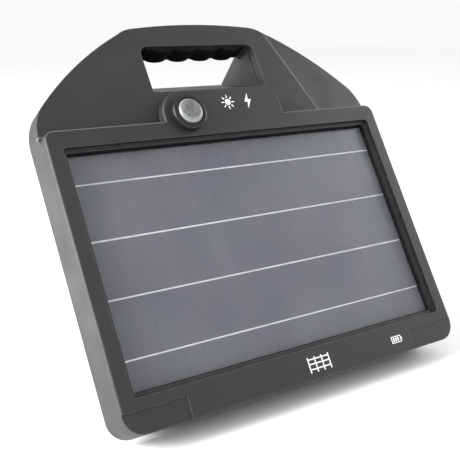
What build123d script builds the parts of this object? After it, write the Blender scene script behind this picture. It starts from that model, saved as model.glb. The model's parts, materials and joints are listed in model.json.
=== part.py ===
from build123d import *
from math import cos, radians, sin, tan
import os

# Solar fence energizer: a leaning solar face with a carry handle above it and a
# battery housing behind it.  All sizes are in millimetres, +Z is up, the solar
# face looks towards -Y and the origin is on the floor under the middle.
#
# Most of the front is laid out on the leaning panel: x to the right, d straight
# into the housing from the front of the frame, h up the panel from its bottom
# edge.  The rear is laid out in plain x, y, z.

# ---- driving dimensions ------------------------------------------------------
LEAN = 32.0                 # the panel leans back this far from upright, degrees
FOOT_HEIGHT = 2.5           # how far the rubber feet lift the base
TRAY_DEPTH = 28.0           # depth of the front tray's side wall
PANEL_EDGE_Y = -94.8        # y of the front bottom edge of the frame
WALL = 2.6                  # tray wall
GAP = 0.3                   # air between neighbouring mouldings

# front outline
FACE_HALF_WIDTH = 142.3
FRAME_TOP = 199.0           # h of the ridge above the solar window
FRAME_STEP = 6.5            # the handle zone is set back this far behind the frame
BOTTOM_RADIUS = 14.0
FRAME_TOP_RADIUS = 7.0
FRAME_EDGE_ROUND = 1.6
HANDLE_TOP = 280.0
HANDLE_TOP_HALF = 52.0
SHOULDER_FOOT = 197.0       # h where the upright sides turn into the shoulders

# handle opening
OPENING_HALF = 50.0
OPENING_BOTTOM = 221.0
OPENING_TOP = 262.0
OPENING_RADIUS = 6.0
OPENING_FLOOR_ANGLE = 28.7  # the opening's floor climbs away from the front
FLANGE_BACK = 15.0          # the front moulding lines the opening down to here
GRIP_WALL = 2.5
LINING_SEAM = 1.0           # open seam between the two mouldings inside the opening

# solar window and module
WINDOW_BOTTOM = 26.0
WINDOW_TOP = 182.0
WINDOW_HALF = 128.0
OUTER_STEP = 4.0            # the frame's outer step stands this far outside the cells
INNER_STEP = 1.4
LEDGE_DEPTH = 3.2
GLASS_FRONT = 6.9
GLASS_THICK = 1.5
CELL_THICK = 0.3
BACKSHEET_THICK = 1.6
MODULE_MARGIN = 5.0         # module beyond the cells on each side
CELL_COLUMNS = 18
CELL_JOINT = 0.15
RIBBON_PITCH = 39.0
RIBBON_WIDTH = 1.0
RIBBON_END = 0.7            # ribbon beyond the cells at each end
RIBBON_THICK = 0.2
CLAMP_PITCH = 120.0
CAVITY_FRONT = 12.5         # front of the tray's hollow

# rear housing
HUMP_DRAFT = 16.0
HUMP_WALL = 3.0
HUMP_LENGTH = 118.0         # long enough to reach past the rear face
HUMP_CORNER = 9.0
MOUTH_STEP = 0.8            # the flange's hole is this much smaller than the hollow behind it
HUMP_CORNERS = [(129.3, 4), (129.3, 212), (64, 267), (-64, 267), (-129.3, 212), (-129.3, 4)]
BASE_Z = FOOT_HEIGHT
REAR_FACE_Y = 57.2
REAR_FACE_TOP = 146.0
TIP_DEPTH = 63.0            # the rear end of the walls beside the handle opening
LID_FRONT = 25.2            # front of the rear moulding's flange

# battery and its door
BATTERY = (151.0, 65.0, 94.0)
BATTERY_FRONT_Y = -16.8
BATTERY_FLOOR = 12.0
DOOR_HALF = 86.0
DOOR_BOTTOM = 5.5
DOOR_TOP = 113.5
DOOR_THICK = 3.0
DOOR_SEAL = 1.9
HINGE_X = -90.0
HINGE_Y = 61.5
HINGE_PIN_RADIUS = 1.5
KNUCKLE_RADIUS = 3.5
RUNNING_GAP = 0.06

# push switch
SWITCH_X = -33.0
SWITCH_H = 203.0
BOSS_RADIUS = 19.0
COLLAR_RADIUS = 13.5
CAP_RADIUS = 9.5
SWITCH_TRAVEL = 2.5

# terminals on the overhang above the hanger
TERMINAL_X = 38.0
STUD_RADIUS = 3.0

# case screws: x, h of the right-hand ones; each has a twin on the left
CASE_SCREWS = [(134.5, 20.0), (134.5, 78.0), (134.5, 136.0), (134.5, 194.0), (100.0, 240.7), (30.0, 270.6)]
BOSS = 3.0                  # outer radius of the screw bosses

# facets of the handle zone: creases run from low to high (x, h), the facet's outer edge is x, d, h
CREASE_LOW = (93.0, FRAME_TOP)
CREASE_HIGH = (69.0, 262.0)
SHOULDER_EDGE = (137.0, 10.2, 215.0)

# values worked out from the driving dimensions, and small layout values
CELL_FRONT = GLASS_FRONT + GLASS_THICK
MODULE_HALF = WINDOW_HALF + MODULE_MARGIN
MODULE_HEIGHT = WINDOW_TOP - WINDOW_BOTTOM + 2 * MODULE_MARGIN
WINDOW_MIDDLE = (WINDOW_TOP + WINDOW_BOTTOM) / 2
CELL_PITCH = 2 * WINDOW_HALF / CELL_COLUMNS
CELL_HEIGHT = (WINDOW_TOP - WINDOW_BOTTOM) / 2
POCKET_MARGIN = MODULE_MARGIN + GAP
POCKET_HALF = WINDOW_HALF + POCKET_MARGIN
CONSOLE_SKIN = 3.0
NECK_RADIUS = 8.0
CORNER_STEP_X = 97.0
CORNER_STEP_H = 15.0
CORNER_STEP_DEPTH = 0.8
SEAL_FRONT = 24.2
SEAL_WIDTH = 1.6
SHELF_Z = 114.0
SHELF_THICK = 3.0
SHELF_POSTS = [(-92, -2), (92, -2), (-92, 45), (92, 45)]
DOORWAY_HALF = 78.0
DOORWAY_BOTTOM = 11.5
DOORWAY_TOP = 108.0
KNUCKLE_LOW = 44.0
KNUCKLE_HIGH = 76.0
HANGER_SCREW_X = 45.0
HANGER_SCREW_Z = 130.0
BUSH_RADIUS = 5.0
FEET = [(-80, -38), (80, -38), (-72, 44), (72, 44)]

CLAMP_SCREW_RISE = MODULE_HEIGHT / 2 + 5
CLAMP_SCREW_H = (WINDOW_MIDDLE - CLAMP_SCREW_RISE, WINDOW_MIDDLE + CLAMP_SCREW_RISE)
CLAMP_SCREWS = [(x, h) for x in (-CLAMP_PITCH / 2, CLAMP_PITCH / 2) for h in CLAMP_SCREW_H]
PAD_FRONT = 8.8
PAD_THICK = 2.2
PAD_HALF = 43.5
FINGER_PITCH = 20.0
FINGER_RIB = (9.2, 3.2)
COLLAR_PROUD = 5.5
WELL_RADIUS = 5.4
STEM_RADIUS = 2.5
STEM_END = 14.0
CAP_THICK = 3.5
CAP_FRONT = -(SWITCH_TRAVEL + CAP_THICK + 1.0)
SHELF_HALF = 99.0
SHELF_DEPTH = 60.0
SHELF_MIDDLE_Y = 20.0
BOARD = (128.0, 52.0, 1.6)
BOARD_Z = 123.0
BOARD_MIDDLE_Y = 23.0
BOARD_POSTS = [(-58, 2), (58, 2), (-58, 44), (58, 44)]
HANGER_BOTTOM = 117.0
HANGER_TOP = 143.0
HANGER_STAND = 5.5
KEYHOLE_X = 20.0
KEYHOLE_RADIUS = 4.5
BUSH_FLANGE = 2.0
STUD_OUT = 20.0
THREAD_OUT = 15.5
STUD_TIP_RADIUS = 2.4
STUD_TIP_CHAMFER = 0.5
NUT_THICK = 3.0
WASHER_SEAT = 2.3
WASHER_THICK = 1.2
KNOB_RADIUS = 8.5
KNOB_THICK = 9.0
BATTERY_MIDDLE_Y = BATTERY_FRONT_Y + BATTERY[1] / 2
BATTERY_TOP = BATTERY_FLOOR + BATTERY[2]
BOARD_TOP = BOARD_Z + BOARD[2]
DOOR_SEAL_GAP = 0.2
DOOR_FRONT_Y = REAR_FACE_Y + DOOR_SEAL + DOOR_SEAL_GAP
DOOR_MIDDLE_Z = (DOOR_BOTTOM + DOOR_TOP) / 2
DOORWAY_MIDDLE_Z = (DOORWAY_BOTTOM + DOORWAY_TOP) / 2
DOORWAY_HEIGHT = DOORWAY_TOP - DOORWAY_BOTTOM

os.makedirs("parts", exist_ok=True)

# ---- frames of reference -----------------------------------------------------
LEAN_SIN = sin(radians(LEAN))
LEAN_COS = cos(radians(LEAN))
PANEL_EDGE_Z = BASE_Z + TRAY_DEPTH * LEAN_SIN
FRONTWARD = Vector(0, -LEAN_COS, LEAN_SIN)


def on_panel(x, d, h):
    """Point x across, d into and h up the leaning panel."""
    return Vector(x, PANEL_EDGE_Y + d * LEAN_COS + h * LEAN_SIN, PANEL_EDGE_Z - d * LEAN_SIN + h * LEAN_COS)


def face_plane(d, x=0.0, h=0.0):
    """Plane parallel to the panel at depth d: sketch x, h; it extrudes towards the front."""
    return Plane(origin=on_panel(x, d, h), x_dir=(1, 0, 0), z_dir=FRONTWARD)


# Side view of the panel: sketch d, h; it extrudes along x.
SIDE = Plane(origin=on_panel(0, 0, 0), x_dir=-FRONTWARD, z_dir=(1, 0, 0))

# Rear end of the walls beside the handle opening, and the way the overhang below it faces.
TIP = on_panel(0, TIP_DEPTH, OPENING_BOTTOM + TIP_DEPTH * tan(radians(OPENING_FLOOR_ANGLE)))
OUTWARD = Vector(0, TIP.Z - REAR_FACE_TOP, REAR_FACE_Y - TIP.Y).normalized()


def finish(piece, label):
    """Name a finished piece and write it."""
    piece.part.label = label
    export_step(piece.part, f"parts/{label}.step")


def rounded_window(half_width, bottom, top, radius):
    """Rounded rectangle sketched in x, h."""
    with Locations((0, (bottom + top) / 2)):
        RectangleRounded(2 * half_width, top - bottom, radius)


def case_outline(inset):
    """Outline of the whole front: upright sides, curved shoulders and bowed handle top."""
    with BuildLine() as outline:
        top = ThreePointArc(
            (-HANDLE_TOP_HALF, HANDLE_TOP - 3), (0, HANDLE_TOP), (HANDLE_TOP_HALF, HANDLE_TOP - 3)
        )
        corner = TangentArc(top @ 1, (64, HANDLE_TOP - 7.6), tangent=top % 1)
        shoulder = ThreePointArc(corner @ 1, (103, 248.4), (135.5, 219))
        turn = TangentArc((FACE_HALF_WIDTH, SHOULDER_FOOT), shoulder @ 1, tangent=(0, 1))
        side = Line(turn @ 0, (FACE_HALF_WIDTH, 0))
        bottom = Line(side @ 1, (-FACE_HALF_WIDTH, 0))
        Line(bottom @ 1, (-FACE_HALF_WIDTH, SHOULDER_FOOT))
        mirror(turn, about=Plane.YZ)
        mirror(shoulder, about=Plane.YZ)
        mirror(corner, about=Plane.YZ)
    make_face(outline.edges())
    lower = [v for v in vertices() if v.Y < 1]
    fillet(lower, BOTTOM_RADIUS)
    if inset:
        offset(amount=-inset, mode=Mode.REPLACE)


def frame_outline():
    """The raised frame with its console, whose left end is round about the switch."""
    rounded_window(FACE_HALF_WIDTH, 0, FRAME_TOP, FRAME_TOP_RADIUS)
    with Locations((0, BOTTOM_RADIUS)):
        Rectangle(2 * FACE_HALF_WIDTH, 2 * BOTTOM_RADIUS, mode=Mode.ADD)
    lower = [v for v in vertices() if v.Y < 1]
    fillet(lower, BOTTOM_RADIUS)
    console_top = OPENING_BOTTOM + 1
    with BuildLine() as console:
        boss = CenterArc((SWITCH_X, console_top - BOSS_RADIUS), BOSS_RADIUS, 90, 90)
        left = Line(boss @ 1, (SWITCH_X - BOSS_RADIUS, FRAME_TOP - 10))
        foot = Line(left @ 1, (52, FRAME_TOP - 10))
        right = Line(foot @ 1, (52, console_top - 13))
        corner = CenterArc((39, console_top - 13), 13, 0, 90)
        Line(corner @ 1, boss @ 0)
    make_face(console.edges())


def facet_plane(side):
    """Plane of an outer facet of the handle zone, which slopes back from the crease."""
    low = on_panel(side * CREASE_LOW[0], FRAME_STEP, CREASE_LOW[1])
    high = on_panel(side * CREASE_HIGH[0], recede(CREASE_HIGH[1]), CREASE_HIGH[1])
    edge = on_panel(side * SHOULDER_EDGE[0], SHOULDER_EDGE[1], SHOULDER_EDGE[2])
    normal = (high - low).cross(edge - low).normalized()
    if normal.dot(FRONTWARD) < 0:
        normal = -normal
    return Plane(origin=low, x_dir=high - low, z_dir=normal)


def recede(h):
    """Depth of the handle zone's middle at height h."""
    return FRAME_STEP + 0.03 * (h - FRAME_TOP)


def front_of_handle():
    """All the room in front of the handle zone's three facets."""
    with BuildPart() as room:
        with BuildSketch(SIDE):
            Polygon((-9, 190), (recede(190), 190), (recede(300), 300), (-9, 300), align=None)
        extrude(amount=160, both=True)
        for side in (-1, 1):
            with BuildSketch(facet_plane(side)):
                Rectangle(600, 600)
            extrude(amount=60)
        with BuildSketch(SIDE):
            Polygon((-12, 190), (26, 190), (26, 310), (-12, 310), align=None)
        extrude(amount=200, both=True, mode=Mode.INTERSECT)
    return room.part


def opening_void(margin):
    """Finger room of the handle, with a floor that climbs and a back open above."""
    climb = tan(radians(OPENING_FLOOR_ANGLE))
    drop = margin / cos(radians(OPENING_FLOOR_ANGLE))
    with BuildPart() as void:
        with BuildSketch(face_plane(-10)):
            rounded_window(OPENING_HALF + margin, OPENING_BOTTOM - 12, OPENING_TOP + margin, OPENING_RADIUS)
        extrude(amount=-(TRAY_DEPTH + 10))
        with BuildSketch(SIDE):
            Polygon((TRAY_DEPTH, 205), (100, 205), (100, 300), (TRAY_DEPTH, 300), align=None)
        extrude(amount=OPENING_HALF + margin, both=True)
        with BuildSketch(SIDE):
            Polygon(
                (-12, OPENING_BOTTOM - 12 * climb - drop),
                (100, OPENING_BOTTOM + 100 * climb - drop),
                (100, 330),
                (-12, 330),
                align=None,
            )
        extrude(amount=90, both=True, mode=Mode.INTERSECT)
    return void.part


def hump_section(inset):
    """Section of the rear housing where it leaves the flange."""
    Polygon(*HUMP_CORNERS, align=None)
    fillet(vertices(), HUMP_CORNER)
    if inset:
        offset(amount=-inset / cos(radians(HUMP_DRAFT)), mode=Mode.REPLACE)


def hump(inset):
    """Rear housing's block, tapering backwards, cut to the base, rear face and overhang."""
    with BuildPart() as block:
        with BuildSketch(face_plane(TRAY_DEPTH)):
            hump_section(inset)
        extrude(amount=-HUMP_LENGTH, taper=HUMP_DRAFT)
        with BuildSketch(Plane.YZ):
            Polygon(*[(p.Y, p.Z) for p in hump_side()], align=None)
            if inset:
                offset(amount=-inset, kind=Kind.INTERSECTION)
        extrude(amount=200, both=True, mode=Mode.INTERSECT)
    return block.part


def flange_mouth():
    """Hole in the rear moulding's flange, a small step inside the hollow behind it."""
    with BuildPart() as mouth:
        with BuildSketch(face_plane(TRAY_DEPTH + 1)):
            hump_section(HUMP_WALL + MOUTH_STEP)
        extrude(amount=TRAY_DEPTH + 1 - LID_FRONT + 2)
    return mouth.part


def hump_side():
    """Corners of the rear housing's side view, from the top round to the front."""
    return [
        on_panel(0, TRAY_DEPTH - 8, 267),
        on_panel(0, TRAY_DEPTH, 267),
        TIP,
        Vector(0, REAR_FACE_Y, REAR_FACE_TOP),
        Vector(0, REAR_FACE_Y, BASE_Z),
        Vector(0, on_panel(0, TRAY_DEPTH - 8, -5).Y, BASE_Z),
    ]


def overhang_plane(x, out):
    """Plane on the overhang behind the handle, out from its face: its z points away from the shell."""
    middle = (TIP + Vector(0, REAR_FACE_Y, REAR_FACE_TOP)) / 2
    return Plane(origin=Vector(x, middle.Y, middle.Z) + OUTWARD * out, x_dir=(1, 0, 0), z_dir=OUTWARD)


def switch_plane(d):
    """Plane at the push switch, parallel to the panel at depth d."""
    return face_plane(d, SWITCH_X, SWITCH_H)


def upright_seat(z, x, y):
    """Seat of a screw that is driven downwards."""
    return Plane(origin=(x, y, z), x_dir=(1, 0, 0), z_dir=(0, 0, 1))


def both_sides(points):
    """Each point and its twin on the left."""
    return points + [(-x, h) for x, h in points]


# ---- front moulding ----------------------------------------------------------
with BuildPart() as frame_blank:
    with BuildSketch(face_plane(0)):
        frame_outline()
    extrude(amount=-(CAVITY_FRONT - 0.5))
    front_rim = frame_blank.faces().sort_by(Axis(on_panel(0, 0, 0), FRONTWARD))[-1].outer_wire()
    fillet(front_rim.edges(), FRAME_EDGE_ROUND)

with BuildPart() as front_shell:
    with BuildSketch(face_plane(FRAME_STEP)):
        case_outline(0)
    extrude(amount=-(TRAY_DEPTH - FRAME_STEP))
    add(front_of_handle(), mode=Mode.SUBTRACT)
    add(frame_blank.part)
    # hollow behind the face
    with BuildSketch(face_plane(CAVITY_FRONT)):
        case_outline(WALL)
    extrude(amount=-(TRAY_DEPTH - CAVITY_FRONT), mode=Mode.SUBTRACT)
    # pocket for the module, and the stepped window in front of it
    with BuildSketch(face_plane(GLASS_FRONT)):
        rounded_window(POCKET_HALF, WINDOW_BOTTOM - POCKET_MARGIN, WINDOW_TOP + POCKET_MARGIN, 2)
    extrude(amount=-(CAVITY_FRONT - GLASS_FRONT), mode=Mode.SUBTRACT)
    with BuildSketch(face_plane(0)):
        rounded_window(WINDOW_HALF + INNER_STEP, WINDOW_BOTTOM - INNER_STEP, WINDOW_TOP + INNER_STEP, 1.5)
    extrude(amount=-GLASS_FRONT - 1, mode=Mode.SUBTRACT)
    with BuildSketch(face_plane(0)):
        rounded_window(WINDOW_HALF + OUTER_STEP, WINDOW_BOTTOM - OUTER_STEP, WINDOW_TOP + OUTER_STEP, 3)
    extrude(amount=-LEDGE_DEPTH, mode=Mode.SUBTRACT)
    # lining of the handle opening, and the web under the grip
    with BuildSketch(face_plane(CAVITY_FRONT - 1)):
        rounded_window(OPENING_HALF + GRIP_WALL, OPENING_BOTTOM - GRIP_WALL, OPENING_TOP + GRIP_WALL, 8)
    extrude(amount=-(FLANGE_BACK - CAVITY_FRONT + 1))
    with BuildSketch(SIDE):
        Polygon(
            (CAVITY_FRONT - 1, OPENING_TOP),
            (LID_FRONT - GAP, OPENING_TOP),
            (LID_FRONT - GAP, OPENING_TOP + GRIP_WALL),
            (CAVITY_FRONT - 1, OPENING_TOP + GRIP_WALL),
            align=None,
        )
    extrude(amount=OPENING_HALF - 4, both=True)
    add(opening_void(0), mode=Mode.SUBTRACT)
    # screw bosses with their pilot holes
    with BuildSketch(face_plane(CAVITY_FRONT)):
        with Locations(*both_sides(CASE_SCREWS)):
            Circle(BOSS)
    extrude(amount=-(LID_FRONT - GAP - CAVITY_FRONT))
    with BuildSketch(face_plane(CAVITY_FRONT + 1)):
        with Locations(*both_sides(CASE_SCREWS)):
            Circle(1.5)
    extrude(amount=-20, mode=Mode.SUBTRACT)
    # pilot holes for the module's clamp screws
    with BuildSketch(face_plane(CAVITY_FRONT - 7, 0, WINDOW_MIDDLE)):
        with GridLocations(CLAMP_PITCH, MODULE_HEIGHT + 10, 2, 2):
            Circle(1.3)
    extrude(amount=-10, mode=Mode.SUBTRACT)
    # thin skin and bore at the switch
    with BuildSketch(face_plane(CONSOLE_SKIN)):
        with Locations((SWITCH_X, SWITCH_H)):
            Circle(COLLAR_RADIUS)
    extrude(amount=-20, mode=Mode.SUBTRACT)
    with BuildSketch(face_plane(-1)):
        with Locations((SWITCH_X, SWITCH_H)):
            Circle(NECK_RADIUS + 0.2)
    extrude(amount=-10, mode=Mode.SUBTRACT)
    # shallow steps at the lower corners
    with BuildSketch(face_plane(-1)):
        for side in (-1, 1):
            with Locations((side * (CORNER_STEP_X + 30), CORNER_STEP_H / 2 - 5)):
                Rectangle(60, CORNER_STEP_H + 10)
    extrude(amount=-1 - CORNER_STEP_DEPTH, mode=Mode.SUBTRACT)
finish(front_shell, "front_shell")

# ---- rear moulding -----------------------------------------------------------
with BuildPart() as lining_room:
    with BuildSketch(SIDE):
        Polygon(
            (FLANGE_BACK + LINING_SEAM, 200),
            (TRAY_DEPTH + 1, 200),
            (TRAY_DEPTH + 1, OPENING_TOP - GAP),
            (FLANGE_BACK + LINING_SEAM, OPENING_TOP - GAP),
            align=None,
        )
    extrude(amount=OPENING_HALF + GRIP_WALL, both=True)
    add(hump(0))

with BuildPart() as opening_lining:
    add(opening_void(GRIP_WALL))
    add(lining_room.part, mode=Mode.INTERSECT)

with BuildPart() as rear_shell:
    with BuildSketch(face_plane(LID_FRONT)):
        case_outline(WALL + GAP)
    extrude(amount=-(TRAY_DEPTH - LID_FRONT))
    add(hump(0))
    add(hump(HUMP_WALL), mode=Mode.SUBTRACT)
    add(flange_mouth(), mode=Mode.SUBTRACT)
    add(opening_lining.part)
    add(opening_void(0), mode=Mode.SUBTRACT)
    # holes for the case screws
    with BuildSketch(face_plane(LID_FRONT - 1)):
        with Locations(*both_sides(CASE_SCREWS)):
            Circle(1.8)
    extrude(amount=-10, mode=Mode.SUBTRACT)
    # battery rails on the base and posts for the shelf
    for x in (-50, 50):
        with BuildSketch(Plane.XY.offset(BASE_Z + 1)):
            with Locations((x, BATTERY_FRONT_Y + BATTERY[1] / 2)):
                Rectangle(6, BATTERY[1])
        extrude(amount=BATTERY_FLOOR - BASE_Z - 1)
    with BuildSketch(Plane.XY.offset(BASE_Z + 1)):
        with Locations(*SHELF_POSTS):
            Circle(4)
    extrude(amount=SHELF_Z - BASE_Z - 1)
    with BuildSketch(Plane.XY.offset(SHELF_Z - 14)):
        with Locations(*SHELF_POSTS):
            Circle(1.4)
    extrude(amount=20, mode=Mode.SUBTRACT)
    # battery doorway
    with BuildSketch(Plane.XZ.offset(-REAR_FACE_Y - 1)):
        with Locations((0, (DOORWAY_BOTTOM + DOORWAY_TOP) / 2)):
            RectangleRounded(2 * DOORWAY_HALF, DOORWAY_TOP - DOORWAY_BOTTOM, 3)
    extrude(amount=HUMP_WALL + 2, mode=Mode.SUBTRACT)
    # fixed knuckle of the door hinge
    with BuildSketch(Plane.XY.offset(KNUCKLE_LOW + GAP)):
        with Locations((HINGE_X, HINGE_Y)):
            Circle(KNUCKLE_RADIUS)
        with Locations((HINGE_X, (HINGE_Y + REAR_FACE_Y - 1) / 2)):
            Rectangle(2 * KNUCKLE_RADIUS, HINGE_Y - REAR_FACE_Y + 1)
        with Locations((HINGE_X, HINGE_Y)):
            Circle(HINGE_PIN_RADIUS + 0.03, mode=Mode.SUBTRACT)
    extrude(amount=KNUCKLE_HIGH - KNUCKLE_LOW - 2 * GAP)
    # bosses and pilots for the hanger screws
    with BuildSketch(Plane.XZ.offset(-REAR_FACE_Y + HUMP_WALL - 1)):
        with Locations((-HANGER_SCREW_X, HANGER_SCREW_Z), (HANGER_SCREW_X, HANGER_SCREW_Z)):
            Circle(4)
    extrude(amount=10)
    with BuildSketch(Plane.XZ.offset(-REAR_FACE_Y - 1)):
        with Locations((-HANGER_SCREW_X, HANGER_SCREW_Z), (HANGER_SCREW_X, HANGER_SCREW_Z)):
            Circle(1.6)
    extrude(amount=18, mode=Mode.SUBTRACT)
    # bores for the terminal bushes and for the feet
    for x in (-TERMINAL_X, TERMINAL_X):
        with BuildSketch(overhang_plane(x, 2)):
            Circle(BUSH_RADIUS + 0.1)
        extrude(amount=-HUMP_WALL - 6, mode=Mode.SUBTRACT)
    with BuildSketch(Plane.XY.offset(BASE_Z - 1)):
        with Locations(*FEET):
            Circle(2.5)
    extrude(amount=6, mode=Mode.SUBTRACT)
finish(rear_shell, "rear_shell")

with BuildPart() as case_seal:
    with BuildSketch(face_plane(SEAL_FRONT)):
        case_outline(WALL + GAP)
    extrude(amount=-(LID_FRONT - SEAL_FRONT))
    with BuildSketch(face_plane(SEAL_FRONT - 1)):
        case_outline(WALL + GAP + SEAL_WIDTH)
    extrude(amount=-10, mode=Mode.SUBTRACT)
finish(case_seal, "case_seal")

# ---- solar module ------------------------------------------------------------

with BuildPart() as solar_glass:
    with BuildSketch(face_plane(GLASS_FRONT, 0, WINDOW_MIDDLE)):
        RectangleRounded(2 * MODULE_HALF, MODULE_HEIGHT, 2)
    extrude(amount=-GLASS_THICK + RIBBON_THICK)
finish(solar_glass, "solar_glass")

with BuildPart() as solar_cells:
    with BuildSketch(face_plane(CELL_FRONT, 0, WINDOW_MIDDLE)):
        with GridLocations(CELL_PITCH, CELL_HEIGHT, CELL_COLUMNS, 2):
            Rectangle(CELL_PITCH - CELL_JOINT, CELL_HEIGHT - CELL_JOINT)
    extrude(amount=-CELL_THICK)
finish(solar_cells, "solar_cells")

with BuildPart() as cell_ribbons:
    with BuildSketch(face_plane(CELL_FRONT - RIBBON_THICK, 0, WINDOW_MIDDLE)):
        with GridLocations(1, RIBBON_PITCH, 1, 4):
            Rectangle(2 * (WINDOW_HALF + RIBBON_END), RIBBON_WIDTH)
    extrude(amount=-RIBBON_THICK)
finish(cell_ribbons, "cell_ribbons")

with BuildPart() as module_backsheet:
    with BuildSketch(face_plane(CELL_FRONT + CELL_THICK, 0, WINDOW_MIDDLE)):
        RectangleRounded(2 * MODULE_HALF, MODULE_HEIGHT, 2)
    extrude(amount=-BACKSHEET_THICK)
finish(module_backsheet, "module_backsheet")

with BuildPart() as module_gasket:
    with BuildSketch(face_plane(CELL_FRONT + CELL_THICK + BACKSHEET_THICK, 0, WINDOW_MIDDLE)):
        RectangleRounded(2 * MODULE_HALF, MODULE_HEIGHT, 2)
        RectangleRounded(2 * MODULE_HALF - 12, MODULE_HEIGHT - 12, 2, mode=Mode.SUBTRACT)
    extrude(amount=-(CAVITY_FRONT - CELL_FRONT - CELL_THICK - BACKSHEET_THICK))
finish(module_gasket, "module_gasket")

# Clamp strips across the back of the module, screwed to the frame above and below it.
with BuildPart() as module_clamps:
    with BuildSketch(face_plane(CAVITY_FRONT, 0, WINDOW_MIDDLE)):
        with GridLocations(CLAMP_PITCH, 1, 2, 1):
            Rectangle(14, MODULE_HEIGHT + 18)
    extrude(amount=-2)
    with BuildSketch(face_plane(CAVITY_FRONT - 1, 0, WINDOW_MIDDLE)):
        with GridLocations(CLAMP_PITCH, MODULE_HEIGHT + 10, 2, 2):
            Circle(1.7)
    extrude(amount=-6, mode=Mode.SUBTRACT)
finish(module_clamps, "module_clamps")


def pan_screws(label, places, head_radius, head_thick, shank_radius, shank_length):
    """One node of equal pan-head screws; each place is the plane of the seat, z towards the head."""
    with BuildPart() as screws:
        for seat in places:
            with BuildSketch(seat):
                Circle(head_radius)
            extrude(amount=head_thick)
            with BuildSketch(seat):
                Circle(shank_radius)
            extrude(amount=-shank_length)
            with BuildSketch(seat.offset(head_thick)):
                Rectangle(head_radius, 0.6)
                Rectangle(0.6, head_radius)
            extrude(amount=-0.8, mode=Mode.SUBTRACT)
    finish(screws, label)


def rear_seat(d, x, h):
    """Seat of a screw that is driven towards the front of the panel."""
    return Plane(origin=on_panel(x, d, h), x_dir=(1, 0, 0), z_dir=-FRONTWARD)


pan_screws("case_screws", [rear_seat(TRAY_DEPTH, x, h) for x, h in both_sides(CASE_SCREWS)], 3.0, 2.0, 1.4, 10)
pan_screws("clamp_screws", [rear_seat(CAVITY_FRONT + 2, x, h) for x, h in CLAMP_SCREWS], 3.0, 1.8, 1.2, 7)

# ---- handle grip -------------------------------------------------------------
# Soft pad under the grip, with a rounded rib between each pair of fingers.
with BuildPart() as grip_pad:
    with BuildSketch(face_plane(PAD_FRONT)):
        with Locations((0, OPENING_TOP - PAD_THICK / 2)):
            Rectangle(2 * PAD_HALF, PAD_THICK)
        with Locations(*[((i - 1.5) * FINGER_PITCH, OPENING_TOP - PAD_THICK + 1) for i in range(4)]):
            Ellipse(*FINGER_RIB)
        with Locations((0, OPENING_TOP + 10)):
            Rectangle(2 * PAD_HALF + 10, 20, mode=Mode.SUBTRACT)
    extrude(amount=-(LID_FRONT - GAP - PAD_FRONT))
finish(grip_pad, "grip_pad")

# ---- push switch -------------------------------------------------------------
with BuildPart() as switch_collar:
    with BuildSketch(switch_plane(-COLLAR_PROUD)):
        Circle(COLLAR_RADIUS)
    extrude(amount=-COLLAR_PROUD)
    collar_front = switch_collar.edges().filter_by(GeomType.CIRCLE).sort_by(Axis(on_panel(0, 0, 0), FRONTWARD))[-1]
    fillet(collar_front, 1.8)
    with BuildSketch(switch_plane(-COLLAR_PROUD)):
        Circle(CAP_RADIUS + 0.4)
    extrude(amount=-(COLLAR_PROUD - 0.8), mode=Mode.SUBTRACT)
    with BuildSketch(switch_plane(-0.1)):
        Circle(NECK_RADIUS)
    extrude(amount=-12.1)
    with BuildSketch(switch_plane(-1)):
        Circle(WELL_RADIUS)
    extrude(amount=-9, mode=Mode.SUBTRACT)
    with BuildSketch(switch_plane(-1)):
        Circle(STEM_RADIUS + RUNNING_GAP)
    extrude(amount=-14, mode=Mode.SUBTRACT)
finish(switch_collar, "switch_collar")

# The cap is a dome with a stem; it travels SWITCH_TRAVEL into the collar.
with BuildPart() as switch_cap:
    with BuildSketch(switch_plane(CAP_FRONT)):
        Circle(CAP_RADIUS)
    extrude(amount=-CAP_THICK)
    cap_front = switch_cap.edges().filter_by(GeomType.CIRCLE).sort_by(Axis(on_panel(0, 0, 0), FRONTWARD))[-1]
    fillet(cap_front, 2.4)
    with BuildSketch(switch_plane(CAP_FRONT + CAP_THICK)):
        Circle(STEM_RADIUS)
    extrude(amount=-(STEM_END - CAP_FRONT - CAP_THICK))
finish(switch_cap, "switch_cap")

with BuildPart() as switch_spring:
    with BuildLine() as coil:
        Helix(pitch=1.75, height=8.2, radius=4.0, center=switch_plane(5.0).origin, direction=FRONTWARD)
    with BuildSketch(Plane(origin=coil.line @ 0, z_dir=coil.line % 0)):
        Circle(0.35)
    sweep(path=coil.line, is_frenet=True)
finish(switch_spring, "switch_spring")

with BuildPart() as switch_nut:
    with BuildSketch(switch_plane(CONSOLE_SKIN + 0.1)):
        RegularPolygon(11, 6, major_radius=False)
        Circle(NECK_RADIUS + 0.05, mode=Mode.SUBTRACT)
    extrude(amount=-3)
finish(switch_nut, "switch_nut")

with BuildPart() as switch_body:
    with BuildSketch(switch_plane(12.1)):
        RectangleRounded(19, 17, 3)
    extrude(amount=-17)
    with BuildSketch(switch_plane(12)):
        Circle(STEM_RADIUS + 0.3)
    extrude(amount=-6, mode=Mode.SUBTRACT)
    with BuildSketch(switch_plane(29)):
        with GridLocations(8, 1, 2, 1):
            Rectangle(4.8, 0.8)
    extrude(amount=-6)
finish(switch_body, "switch_body")

# ---- battery and what holds it -------------------------------------------------
with BuildPart() as battery:
    with BuildSketch(Plane.XY.offset(BATTERY_FLOOR)):
        with Locations((0, BATTERY_MIDDLE_Y)):
            RectangleRounded(BATTERY[0], BATTERY[1], 3)
    extrude(amount=BATTERY[2])
    fillet(battery.edges().group_by(Axis.Z)[-1], 1.2)
finish(battery, "battery")

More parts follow.
